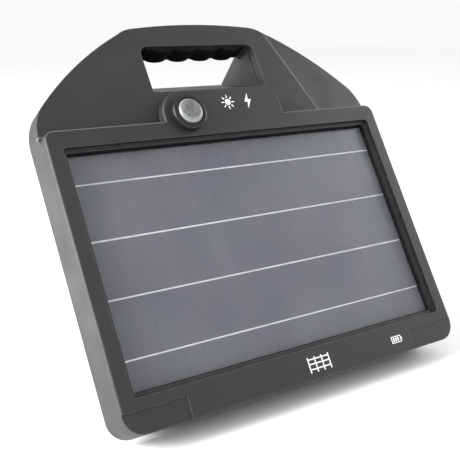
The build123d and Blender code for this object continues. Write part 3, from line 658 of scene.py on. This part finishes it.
@dataclass(frozen=True)
class SolarSilicon:
    """Crystalline cells with fine fingers and soft patches of tint.

    Attributes:
        crystal: Crystals in a metre.
        warm_patch: Patches of warm tint in a metre.
        cool_patch: Patches of cool tint in a metre.
        column_shift: How far a column's tint may lie from its neighbours'.
    """

    name: str = "silicon_cells"
    finger_pitch: float = 1.6 * MM
    columns: int = 18
    crystal: float = 150.0
    warm_patch: float = 26.0
    cool_patch: float = 17.0
    column_shift: float = 0.07

    def material(self) -> bpy.types.Material:
        """Build the cells."""
        g = Graph(self.name)
        place = g.panel_place()
        x, _, _ = g.split(place)
        column_pitch = 2 * PANEL.cells_half()[0] / self.columns
        column = g.node("ShaderNodeTexWhiteNoise", noise_dimensions="1D")
        g.feed(column.inputs["W"], g.calc("FLOOR", g.calc("DIVIDE", x, column_pitch)))
        shift = g.ramp(column.outputs["Value"], 0.0, 1.0, -self.column_shift, self.column_shift)
        hue = g.calc("ADD", g.noise(self.warm_patch, 2.0, place), shift)
        warm = g.blend(g.ramp(hue, 0.38, 0.62), (0.020, 0.027, 0.060), (0.046, 0.036, 0.056))
        green = g.ramp(g.noise(self.cool_patch, 2.0), 0.45, 0.68)
        cool = g.blend(green, warm, (0.018, 0.048, 0.044))
        crystal = g.node("ShaderNodeTexVoronoi")
        g.feed(crystal.inputs["Vector"], place)
        crystal.inputs["Scale"].default_value = self.crystal
        grey = g.node("ShaderNodeRGBToBW")
        g.feed(grey.inputs[0], crystal.outputs["Color"])
        colour = g.blend(g.ramp(grey.outputs[0], 0.0, 1.0, 0.0, 0.16), cool, (0.075, 0.075, 0.1))
        phase = g.calc("FRACT", g.calc("DIVIDE", x, self.finger_pitch))
        finger = g.ramp(g.calc("ABSOLUTE", g.calc("SUBTRACT", phase, 0.5)), 0.06, 0.03)
        colour = g.blend(g.calc("MULTIPLY", finger, 0.08), colour, (0.2, 0.205, 0.22))
        rough = g.ramp(g.noise(300.0), 0.3, 0.7, 0.3, 0.42)
        return g.finish(
            Base_Color=colour,
            Roughness=rough,
            Normal=g.relief(grey.outputs[0], 0.01 * MM, None, 0.4),
            Coat_Weight=0.5,
            Coat_Roughness=0.12,
        )


@dataclass(frozen=True)
class MattedPane:
    """Clear solar window, softly matted, with dust, faint streaks and a black border.

    Attributes:
        veil: Least opacity of the pane.
        border_gap: Clear pane between the cells and the border.
    """

    name: str = "matted_pane"
    veil: float = 0.2
    border_gap: float = 0.3 * MM
    border: Colour = (0.003, 0.003, 0.003)

    def material(self) -> bpy.types.Material:
        """Build the pane."""
        g = Graph(self.name)
        haze = g.noise(9.0, 4.0)
        streaks = g.noise(1.0, 4.0, g.stretched((160.0, 14.0, 10.0)))
        dust = g.ramp(haze, 0.35, 0.7, 0.0, 0.06)
        dirt = g.calc("ADD", dust, g.ramp(streaks, 0.5, 0.85, 0.0, 0.05))
        patches = g.ramp(g.noise(20.0), 0.35, 0.65)
        colour = g.blend(patches, (0.22, 0.225, 0.245), (0.26, 0.255, 0.275))
        rough = g.ramp(haze, 0.3, 0.7, 0.2, 0.3)
        x, _, h = g.split(g.panel_place())
        half_wide, half_tall = (half + self.border_gap for half in PANEL.cells_half())
        beside = g.calc("GREATER_THAN", g.calc("ABSOLUTE", x), half_wide)
        height = g.calc("ABSOLUTE", g.calc("SUBTRACT", h, PANEL.window_middle))
        above = g.calc("GREATER_THAN", height, half_tall)
        border = g.calc("MAXIMUM", beside, above)
        colour = g.blend(border, colour, self.border)
        return g.finish(
            Base_Color=colour,
            Roughness=rough,
            Specular_IOR_Level=0.4,
            Alpha=g.calc("MAXIMUM", border, g.calc("ADD", dirt, self.veil)),
            Normal=g.relief(g.noise(1800.0), 0.008 * MM, None, 0.5),
        )


@dataclass(frozen=True)
class CloudyCap:
    """Cloudy translucent silicone with a paler rim."""

    name: str = "cloudy_cap"
    radius: float = 9.5 * MM

    def material(self) -> bpy.types.Material:
        """Build the silicone."""
        g = Graph(self.name)
        low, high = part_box("switch_cap")
        centre = (Vector(low) + Vector(high)) / 2
        out = g.radius_about(centre, FRONTWARD)
        rim = g.ramp(out, self.radius * 0.72, self.radius * 0.9)
        hollow = g.ramp(out, self.radius * 0.34, self.radius * 0.46)
        wisps = g.ramp(g.noise(330.0, 5.0), 0.34, 0.66)
        cloud = g.blend(wisps, (0.075, 0.075, 0.078), (0.17, 0.17, 0.17))
        colour = g.blend(g.calc("MULTIPLY", rim, 0.75), cloud, (0.27, 0.27, 0.27))
        core = g.calc("MULTIPLY", g.calc("SUBTRACT", 1.0, hollow), 0.35)
        colour = g.blend(core, colour, (0.06, 0.06, 0.06))
        return g.finish(
            Base_Color=colour,
            Roughness=g.ramp(g.noise(500.0), 0.3, 0.7, 0.3, 0.45),
            Normal=g.relief(g.noise(900.0, 4.0), 0.04 * MM, None, 0.6),
            Subsurface_Weight=0.2,
            Coat_Weight=0.3,
        )


@dataclass(frozen=True)
class BoardLaminate:
    """Green circuit board with copper tracks showing through its mask."""

    name: str = "board_laminate"
    pads: float = 120.0  # copper pads in a metre

    def material(self) -> bpy.types.Material:
        """Build the laminate."""
        g = Graph(self.name)
        tracks = g.node("ShaderNodeTexVoronoi", distance="CHEBYCHEV", feature="DISTANCE_TO_EDGE")
        g.feed(tracks.inputs["Vector"], g.place)
        tracks.inputs["Scale"].default_value = self.pads
        line = g.ramp(tracks.outputs["Distance"], 0.12, 0.06)
        colour = g.blend(line, (0.012, 0.11, 0.035), (0.05, 0.24, 0.08))
        return g.finish(
            Base_Color=colour,
            Roughness=g.ramp(g.noise(260.0), 0.3, 0.7, 0.25, 0.4),
            Normal=g.relief(line, 0.05 * MM),
        )


@dataclass(frozen=True)
class TapedWinding:
    """Winding under lapped tape."""

    name: str = "taped_winding"
    lap: float = 4.0 * MM

    def material(self) -> bpy.types.Material:
        """Build the tape."""
        g = Graph(self.name)
        _, _, z = g.split(g.place)
        lap = g.calc("FRACT", g.calc("DIVIDE", z, self.lap))
        colour = g.blend(g.calc("MULTIPLY", lap, 0.4), (0.55, 0.42, 0.08), (0.30, 0.2, 0.03))
        rough = g.ramp(g.noise(200.0), 0.3, 0.7, 0.25, 0.45)
        return g.finish(Base_Color=colour, Roughness=rough, Normal=g.relief(lap, 0.12 * MM))


@dataclass(frozen=True)
class PrintedInk:
    """Pad-printed ink, slightly uneven and rubbed."""

    name: str
    colour: Colour

    def material(self) -> bpy.types.Material:
        """Build the ink."""
        g = Graph(self.name)
        rub = g.ramp(g.noise(700.0, 4.0), 0.55, 0.8, 0.0, 0.35)
        return g.finish(
            Base_Color=g.blend(rub, self.colour, toned(self.colour, 0.4, 0.0)),
            Roughness=g.ramp(g.noise(400.0), 0.3, 0.7, 0.45, 0.6),
            Normal=g.relief(g.noise(1500.0), 0.01 * MM),
        )


def dress(finish: Finish, *nodes: str) -> None:
    """Give CAD nodes a finish.

    Args:
        finish: Finish whose material they get.
        *nodes: Names of the nodes.
    """
    material = finish.material()
    for name in nodes:
        for slot in frame["nodes"][name].material_slots:
            slot.material = material
        LOG.info("dressed %s in %s", name, material.name)


def add_piece(
    name: str, mesh: bmesh.types.BMesh, finish: Finish, body: str
) -> bpy.types.Object:
    """Turn a mesh into a piece that rides on a body.

    Args:
        name: Name of the piece.
        mesh: Its mesh, which is freed.
        finish: Its finish.
        body: The CAD body it rides on.

    Returns:
        The piece.
    """
    bmesh.ops.recalc_face_normals(mesh, faces=mesh.faces)
    data = bpy.data.meshes.new(name)
    mesh.to_mesh(data)
    mesh.free()
    data.materials.append(finish.material())
    piece = bpy.data.objects.new(name, data)
    bpy.context.scene.collection.objects.link(piece)
    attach(piece, body)
    LOG.info("built %s on %s", name, body)
    return piece


@dataclass
class Pictogram:
    """A flat printed or raised sign made of closed outlines.

    Attributes:
        size: Side of its unit square.
        thick: How far it stands out.
        sunk: How far its back sinks into the surface.
        disc_radius: Radius of the sun's disc in the unit square.
        stroke: Width of the thin bars in the unit square.
    """

    symbol: Symbol
    size: float
    thick: float = 0.14 * MM
    sunk: float = 0.02 * MM
    sun_rays: int = 8
    disc_corners: int = 28
    disc_radius: float = 0.2
    stroke: float = 0.07

    def outlines(self) -> list[list[Point]]:
        """Outlines of the sign.

        Returns:
            Closed outlines in a unit square about 0, 0.
        """
        if self.symbol is Symbol.BOLT:
            upper = [(0.08, 0.5), (-0.26, -0.06), (-0.03, -0.06)]
            lower = [(-0.12, -0.5), (0.26, 0.1), (0.03, 0.1)]
            return [upper + lower]
        thin = self.stroke
        if self.symbol is Symbol.FENCE:
            posts = [self.bar(x, 0.0, thin, 0.9) for x in (-0.75, -0.25, 0.25, 0.75)]
            spans = ((x, z) for x in (-0.5, 0.0, 0.5) for z in (-0.25, 0.05, 0.32))
            return posts + [self.bar(x, z, 0.4, thin) for x, z in spans]
        if self.symbol is Symbol.SUN:
            turns = (math.tau * i / self.disc_corners for i in range(self.disc_corners))
            disc = [(self.disc_radius * math.cos(a), self.disc_radius * math.sin(a)) for a in turns]
            return [disc] + [self.ray(math.tau * i / self.sun_rays) for i in range(self.sun_rays)]
        if self.symbol is Symbol.BATTERY:
            sides = [self.bar(x, 0, thin, 0.56) for x in (-0.5, 0.5)]
            ends = [self.bar(0, z, 0.92, thin) for z in (0.245, -0.245)]
            tip = [self.bar(0.58, 0, thin, 0.22)]
            return sides + ends + tip + [self.bar(x, 0, 0.14, 0.3) for x in (-0.28, -0.04, 0.2)]
        plates = [self.bar(0, 0.05 - 0.14 * i, 0.6 - 0.2 * i, 0.06) for i in range(3)]
        return [self.bar(0, 0.28, 0.06, 0.42)] + plates

    @staticmethod
    def bar(x: float, z: float, wide: float, tall: float) -> list[Point]:
        """Upright rectangle.

        Args:
            x: Its middle across.
            z: Its middle up.
            wide: Its width.
            tall: Its height.

        Returns:
            Its outline.
        """
        return [
            (x - wide / 2, z - tall / 2),
            (x + wide / 2, z - tall / 2),
            (x + wide / 2, z + tall / 2),
            (x - wide / 2, z + tall / 2),
        ]

    @staticmethod
    def ray(angle: float) -> list[Point]:
        """Tapered ray of the sun sign.

        Args:
            angle: Which way it points.

        Returns:
            Its outline.
        """
        along = (math.cos(angle), math.sin(angle))
        across = (-along[1], along[0])
        corners = ((0.28, 0.045), (0.48, 0.02), (0.48, -0.02), (0.28, -0.045))
        return [(along[0] * r + across[0] * w, along[1] * r + across[1] * w) for r, w in corners]

    def add_to(
        self, mesh: bmesh.types.BMesh, middle: Vector, right: Vector, up: Vector
    ) -> None:
        """Add the sign to a mesh.

        Args:
            mesh: Mesh that gets the sign.
            middle: Middle of the sign's back.
            right: Direction to its right.
            up: Direction to its top.
        """
        out = right.cross(up).normalized()
        for outline in self.outlines():
            corners = [middle + right * x * self.size + up * z * self.size for x, z in outline]
            low = [mesh.verts.new(p - out * self.sunk) for p in corners]
            high = [mesh.verts.new(p + out * self.thick) for p in corners]
            mesh.faces.new(high)
            mesh.faces.new(low[::-1])
            for i, corner in enumerate(low):
                after = (i + 1) % len(low)
                mesh.faces.new((corner, low[after], high[after], high[i]))


@dataclass(frozen=True)
class FaceSign:
    """A sign printed on the front of the panel: what it shows, its size and where it is."""

    symbol: Symbol
    size: float
    x: float
    h: float


@dataclass
class Housing:
    """Front and rear mouldings with their seal, screws and printed signs."""

    black: Colour = (0.021, 0.021, 0.022)
    ink: Colour = (0.82, 0.82, 0.82)
    console: tuple[FaceSign, ...] = (
        FaceSign(Symbol.SUN, 12 * MM, 4 * MM, 210 * MM),
        FaceSign(Symbol.BOLT, 12 * MM, 22 * MM, 210 * MM),
    )
    band: tuple[FaceSign, ...] = (
        FaceSign(Symbol.FENCE, 12 * MM, 8 * MM, 10.5 * MM),
        FaceSign(Symbol.BATTERY, 9 * MM, 82 * MM, 10.5 * MM),
    )

    def dress(self) -> None:
        """Give the mouldings their finishes."""
        # The front moulding gets painted shade on the window's walls and painted highlights along its
        # crease and ridge.
        dress(MouldedPlastic("case_front", self.black, painted_face_light=True), "front_shell")
        dress(MouldedPlastic("case_rear", (0.019, 0.019, 0.020), roughness=0.5), "rear_shell")
        rubber = SoftRubber("seal_rubber", (0.012, 0.012, 0.012))
        dress(rubber, "case_seal", "door_seal", "module_gasket")
        screws = (place + "_screws" for place in ("case", "hanger", "shelf", "board", "clamp"))
        dress(WorkedMetal("zinc_screws", (0.42, 0.415, 0.39)), *screws)
        # The grip pad's near-black is partly its own black rubber and partly painted shade for the
        # shadow under the handle.
        dress(SoftRubber("grip_rubber", (0.003, 0.003, 0.003), sheen=0.0, gloss=0.08), "grip_pad")
        dress(SoftRubber("foot_rubber", (0.018, 0.018, 0.018)), "rubber_feet")

    def build(self) -> None:
        """Print the plain signs on the console and the lower band."""
        for name, ink, signs in (
            ("console_signs", "white_ink", self.console),
            ("band_signs", "band_ink", self.band),
        ):
            mesh = bmesh.new()
            for sign in signs:
                middle = PANEL.point(sign.x, 0, sign.h)
                Pictogram(sign.symbol, sign.size).add_to(mesh, middle, RIGHT, UP_PANEL)
            add_piece(name, mesh, PrintedInk(ink, self.ink), "housing")


@dataclass
class SolarModule:
    """Window, cells, ribbons, backsheet and clamps."""

    ribbon: Colour = (0.93, 0.94, 0.95)

    def dress(self) -> None:
        """Give the module its finishes."""
        dress(MattedPane(), "solar_glass")
        dress(SolarSilicon(), "solar_cells")
        dress(WorkedMetal("tinned_ribbon", self.ribbon, MetalStyle.PLATED, 0.75), "cell_ribbons")
        sheet = MouldedPlastic("backsheet", (0.03, 0.03, 0.035), roughness=0.4, edge_wear_and_highlight=0.1)
        dress(sheet, "module_backsheet")
        dress(WorkedMetal("clamp_steel", (0.6, 0.6, 0.58), MetalStyle.BRUSHED), "module_clamps")


@dataclass
class PushSwitch:
    """Push switch with its collar, cloudy cap and the works behind the console."""

    black: Colour = (0.011, 0.011, 0.012)

    def dress(self) -> None:
        """Give the switch its finishes."""
        collar = MouldedPlastic(
            "collar_black", self.black, grain_depth=0.01 * MM, roughness=0.27, edge_wear_and_highlight=0.12
        )
        dress(collar, "switch_collar")
        dress(CloudyCap(), "switch_cap")
        dress(WorkedMetal("spring_wire", (0.66, 0.66, 0.68), MetalStyle.DRAWN, 0.28), "switch_spring")
        brass = WorkedMetal("plain_brass", (0.72, 0.55, 0.25), MetalStyle.BRUSHED)
        dress(brass, "switch_nut", "terminal_nuts")
        dress(MouldedPlastic("switch_housing", (0.02, 0.02, 0.022)), "switch_body", "board_connectors")


@dataclass
class BatteryBay:
    """Battery, its pad and tabs, and the hinged door with its sign.

    Attributes:
        door_face: How far back the outside of the closed door is.
        corner_steps: Straight runs round each corner of the label.
        bolt_apart: How far each bolt is from the label's middle.
        gauge_size: Size of the battery sign on the label.
    """

    door_face: float = 62.3 * MM
    door_sign_height: float = 72.5 * MM
    door_sign_size: float = 17.0 * MM
    label_wide: float = 96.0 * MM
    label_tall: float = 50.0 * MM
    label_corner: float = 4.0 * MM
    label_thick: float = 0.2 * MM
    corner_steps: int = 5
    bolt_size: float = 18.0 * MM
    bolt_apart: float = 30.0 * MM
    gauge_size: float = 24.0 * MM

    def dress(self) -> None:
        """Give the bay its finishes."""
        dress(MouldedPlastic("battery_case", (0.05, 0.055, 0.07), roughness=0.42), "battery")
        dress(WorkedMetal("tinned_tab", (0.75, 0.74, 0.7), MetalStyle.BRUSHED), "battery_tabs")
        dress(SoftRubber("foam_grey", (0.07, 0.07, 0.075), pore=600.0, roughness=0.95), "battery_pad")
        dress(MouldedPlastic("door_black", (0.022, 0.022, 0.023), roughness=0.5), "battery_door")
        dress(WorkedMetal("ground_pin", (0.64, 0.64, 0.64), MetalStyle.DRAWN, 0.25), "hinge_pin")

    def build(self) -> None:
        """Print the battery signs on the door and stick the label on the battery."""
        mesh = bmesh.new()
        spot = Vector((0, self.door_face, self.door_sign_height))
        Pictogram(Symbol.BATTERY, self.door_sign_size).add_to(mesh, spot, LEFT, UP)
        add_piece("door_sign", mesh, PrintedInk("door_ink", (0.6, 0.6, 0.6)), "door")
        low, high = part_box("battery")
        middle = Vector(((low[0] + high[0]) / 2, high[1], (low[2] + high[2]) / 2))
        mesh = bmesh.new()
        self.label(mesh, middle)
        paper = PrintedInk("label_paper", (0.62, 0.62, 0.58))
        add_piece("battery_label", mesh, paper, "housing")
        mesh = bmesh.new()
        for side in (-1, 1):
            spot = middle + Vector((side * self.bolt_apart, self.label_thick, 0))
            Pictogram(Symbol.BOLT, self.bolt_size).add_to(mesh, spot, LEFT, UP)
        spot = middle + Vector((0, self.label_thick, 0))
        Pictogram(Symbol.BATTERY, self.gauge_size).add_to(mesh, spot, LEFT, UP)
        dark = PrintedInk("label_ink", (0.03, 0.03, 0.03))
        add_piece("battery_signs", mesh, dark, "housing")

    def label(self, mesh: bmesh.types.BMesh, middle: Vector) -> None:
        """Add the round-cornered label.

        Args:
            mesh: Mesh that gets it.
            middle: Middle of its back.
        """
        corner = self.label_corner
        across = self.label_wide / 2 - corner
        above = self.label_tall / 2 - corner
        points = []
        for turn, (sx, sz) in enumerate(((1, 1), (-1, 1), (-1, -1), (1, -1))):
            for step in range(self.corner_steps + 1):
                angle = math.pi / 2 * (turn + step / self.corner_steps)
                x = sx * across + corner * math.cos(angle)
                z = sz * above + corner * math.sin(angle)
                points.append(middle + Vector((x, 0, z)))
        front = [mesh.verts.new(p + Vector((0, self.label_thick, 0))) for p in points]
        back = [mesh.verts.new(p) for p in points]
        mesh.faces.new(front)
        mesh.faces.new(back[::-1])
        for i, corner_vert in enumerate(back):
            after = (i + 1) % len(back)
            mesh.faces.new((corner_vert, back[after], front[after], front[i]))


@dataclass
class PulseCircuit:
    """Shelf, board and the parts that make the pulse."""

    def dress(self) -> None:
        """Give the circuit its finishes."""
        dress(MouldedPlastic("shelf_grey", (0.14, 0.14, 0.14)), "board_shelf")
        dress(BoardLaminate(), "circuit_board")
        core = WorkedMetal("core_laminations", (0.28, 0.28, 0.29), MetalStyle.BRUSHED, 0.5)
        dress(core, "transformer_core")
        dress(TapedWinding(), "transformer_coil")
        sleeve = MouldedPlastic(
            "capacitor_sleeve", (0.01, 0.03, 0.12), grain_depth=0.01 * MM, roughness=0.3
        )
        dress(sleeve, "storage_capacitor")


@dataclass
class Terminal:
    """One output: threaded stud, bush, washer, knob and raised sign.

    Attributes:
        side: Which output it is, as the first part of its nodes' names.
        thread_from: Where the thread starts, measured outwards from the case.
        joint_out: Where the knob's joint is.
        flank: How much steeper the flanks are than a thread with sharp crests.
        around: Vertices round the stud.
        rows: Rings in one turn of the thread.
        sign_aside: How far the sign is from the stud.
        axis: Direction outwards along the stud.
        base: Point of that axis at the case.
    """

    side: str
    symbol: Symbol
    knob: Colour
    pitch: float = 1.0 * MM
    radius: float = 3.0 * MM
    root: float = 2.45 * MM
    tip: float = 2.4 * MM
    chamfer: float = 0.5 * MM
    thread_from: float = -9.0 * MM
    thread_to: float = 15.5 * MM
    end: float = 20.0 * MM
    joint_out: float = 8.0 * MM
    flank: float = 1.15
    around: int = 40
    rows: int = 10
    sign_aside: float = 20.0 * MM
    sign_size: float = 11.0 * MM
    sign_thick: float = 0.5 * MM
    axis: Vector = field(init=False)
    base: Vector = field(init=False)

    def __post_init__(self) -> None:
        """Find the stud's axis from the knob's joint."""
        joint = next(j for j in frame["joints"] if j["name"] == self.side + "_knob_turn")
        self.axis = Vector(joint["axis"]).normalized()
        self.base = Vector(joint["pos_m"]) - self.axis * self.joint_out

    def dress(self) -> None:
        """Give the terminal its finishes."""
        side = self.side
        bush = MouldedPlastic(side + "_bush_black", (0.02, 0.02, 0.02), roughness=0.3)
        dress(bush, side + "_bush")
        steel = (0.72, 0.72, 0.7)
        washer = WorkedMetal(side + "_washer_steel", steel, MetalStyle.BRUSHED, 0.26)
        dress(washer, side + "_washer")
        knob = MouldedPlastic(
            side + "_knob_colour", self.knob, grain_depth=0.02 * MM, roughness=0.36, edge_wear_and_highlight=0.3
        )
        dress(knob, side + "_knob")

    def profile(self) -> list[float]:
        """Spread the thread's rings.

        Returns:
            Places along the stud at which they stand.
        """
        count = int((self.thread_to - self.thread_from) / self.pitch * self.rows)
        step = self.pitch / self.rows
        return [self.thread_from + i * step for i in range(count + 1)]

    def build(self) -> None:
        """Make the stud and raise the sign beside it."""
        up = self.axis.cross(RIGHT).normalized()
        self.build_stud(up)
        mesh = bmesh.new()
        spot = self.base + RIGHT * math.copysign(self.sign_aside, self.base.x)
        sign = Pictogram(self.symbol, self.sign_size, self.sign_thick)
        sign.add_to(mesh, spot, -RIGHT, -up if up.z < 0 else up)
        ink = PrintedInk(self.side + "_ink", (0.7, 0.7, 0.7))
        add_piece(self.side + "_sign", mesh, ink, "housing")

    def build_stud(self, up: Vector) -> None:
        """Cut the stud's thread and turn its plain tip.

        Args:
            up: Second direction across the stud, square to the first one.
        """
        mesh = bmesh.new()
        around = range(self.around)
        rings = [
            [self.ring_point(mesh, out, self.thread_radius(out, i), i, up) for i in around]
            for out in self.profile()
        ]
        plain = (
            (self.thread_to, self.tip),
            (self.end - self.chamfer, self.tip),
            (self.end, self.tip - self.chamfer),
        )
        for out, radius in plain:
            rings.append([self.ring_point(mesh, out, radius, i, up) for i in around])
        for low, high in zip(rings, rings[1:]):
            for i in around:
                after = (i + 1) % self.around
                mesh.faces.new((low[i], low[after], high[after], high[i]))
        mesh.faces.new(rings[0][::-1])
        mesh.faces.new(rings[-1])
        grey = (0.42, 0.42, 0.41)
        steel = WorkedMetal(self.side + "_stud_steel", grey, MetalStyle.PLATED, 0.3)
        stud = add_piece(self.side + "_threaded_stud", mesh, steel, "housing")
        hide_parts(self.side + "_stud")

    def thread_radius(self, out: float, i: int) -> float:
        """Radius of the thread.

        Args:
            out: Place along the stud.
            i: Number of the vertex round the ring.

        Returns:
            The radius there.
        """
        phase = (out / self.pitch - i / self.around) % 1.0
        crest = 1.0 - abs(2.0 * phase - 1.0)
        return self.root + (self.radius - self.root) * min(1.0, crest * self.flank)

    def ring_point(
        self, mesh: bmesh.types.BMesh, out: float, radius: float, i: int, up: Vector
    ) -> bmesh.types.BMVert:
        """Add a vertex of a ring.

        Args:
            mesh: Mesh that gets it.
            out: Place along the stud.
            radius: Radius of the ring.
            i: Number of the vertex round the ring.
            up: Second direction across the stud.

        Returns:
            The vertex.
        """
        angle = math.tau * i / self.around
        across = RIGHT * radius * math.cos(angle) + up * radius * math.sin(angle)
        return mesh.verts.new(self.base + self.axis * out + across)


@dataclass
class Hanger:
    """Folded steel plate that hangs the unit on two screws."""

    zinc: Colour = (0.33, 0.34, 0.345)

    def dress(self) -> None:
        """Give the plate its finish."""
        dress(WorkedMetal("hanger_zinc", self.zinc, MetalStyle.BRUSHED, 0.42), "post_hanger")


@dataclass(frozen=True)
class SoftLight:
    """A square soft light.

    Attributes:
        place: Where it hangs.
        target: What it points at.
        size: Edge in metres.
        power: Power in watts.
    """

    name: str
    place: Sequence[float]
    target: Sequence[float]
    size: float
    power: float

    def hang(self) -> None:
        """Add the light to the scene."""
        data = bpy.data.lights.new(self.name, "AREA")
        data.size = self.size
        data.energy = self.power
        lamp = bpy.data.objects.new(self.name, data)
        lamp.location = self.place
        aim = Vector(self.target) - Vector(self.place)
        lamp.rotation_euler = aim.to_track_quat("-Z", "Y").to_euler()
        bpy.context.scene.collection.objects.link(lamp)


@dataclass
class Studio:
    """Pale floor, soft lights and the camera."""

    camera_place: tuple[float, float, float] = (-0.3344, -0.4791, 0.2569)
    looking: tuple[float, float, float] = (0.5473, 0.7969, -0.2557)
    lens: float = 63.47
    sensor: float = 36.0
    nearest: float = 0.01
    sky: float = 0.95
    floor_reach: float = 5.0
    floor_faces: int = 24
    lamps: tuple[SoftLight, ...] = (
        SoftLight("key_left", (-1.5, 0.25, 0.7), (0.0, 0.05, 0.12), 1.1, 85.0),
        SoftLight("fill_right", (1.5, -0.35, 0.8), (0.0, 0.0, 0.12), 0.9, 12.0),
    )

    def build(self) -> None:
        """Set the stage."""
        self.floor()
        self.lights()
        self.camera()

    def floor(self) -> None:
        """Lay a large pale floor of many faces."""
        mesh = bmesh.new()
        faces = self.floor_faces
        bmesh.ops.create_grid(mesh, x_segments=faces, y_segments=faces, size=self.floor_reach)
        data = bpy.data.meshes.new("floor")
        mesh.to_mesh(data)
        mesh.free()
        g = Graph("pale_floor")
        patches = g.ramp(g.noise(3.0), 0.3, 0.7)
        colour = g.blend(patches, (0.955, 0.955, 0.955), (0.975, 0.975, 0.975))
        data.materials.append(g.finish(Base_Color=colour, Roughness=0.9))
        ground = bpy.data.objects.new("floor", data)
        bpy.context.scene.collection.objects.link(ground)

    def lights(self) -> None:
        """Hang the soft lights and light the room."""
        world = bpy.data.worlds.new("studio")
        bpy.context.scene.world = world
        world.use_nodes = True
        sky = world.node_tree.nodes["Background"]
        sky.inputs["Color"].default_value = (1.0, 1.0, 1.0, 1.0)
        sky.inputs["Strength"].default_value = self.sky
        for lamp in self.lamps:
            lamp.hang()

    def camera(self) -> None:
        """Place the camera."""
        data = bpy.data.cameras.new("camera")
        data.lens = self.lens
        data.sensor_width = self.sensor
        data.clip_start = self.nearest
        viewer = bpy.data.objects.new("camera", data)
        viewer.location = self.camera_place
        viewer.rotation_euler = Vector(self.looking).to_track_quat("-Z", "Y").to_euler()
        bpy.context.scene.collection.objects.link(viewer)
        bpy.context.scene.camera = viewer
        bpy.context.scene.view_settings.view_transform = "Standard"


def main() -> None:
    """Build and dress every sub-assembly in order."""
    Studio().build()
    housing = Housing()
    housing.dress()
    housing.build()
    SolarModule().dress()
    PushSwitch().dress()
    bay = BatteryBay()
    bay.dress()
    bay.build()
    PulseCircuit().dress()
    Hanger().dress()
    for terminal in (
        Terminal("fence", Symbol.BOLT, (0.45, 0.012, 0.012)),
        Terminal("earth", Symbol.EARTH, (0.012, 0.17, 0.04)),
    ):
        terminal.dress()
        terminal.build()


if __name__ == "__main__":
    main()
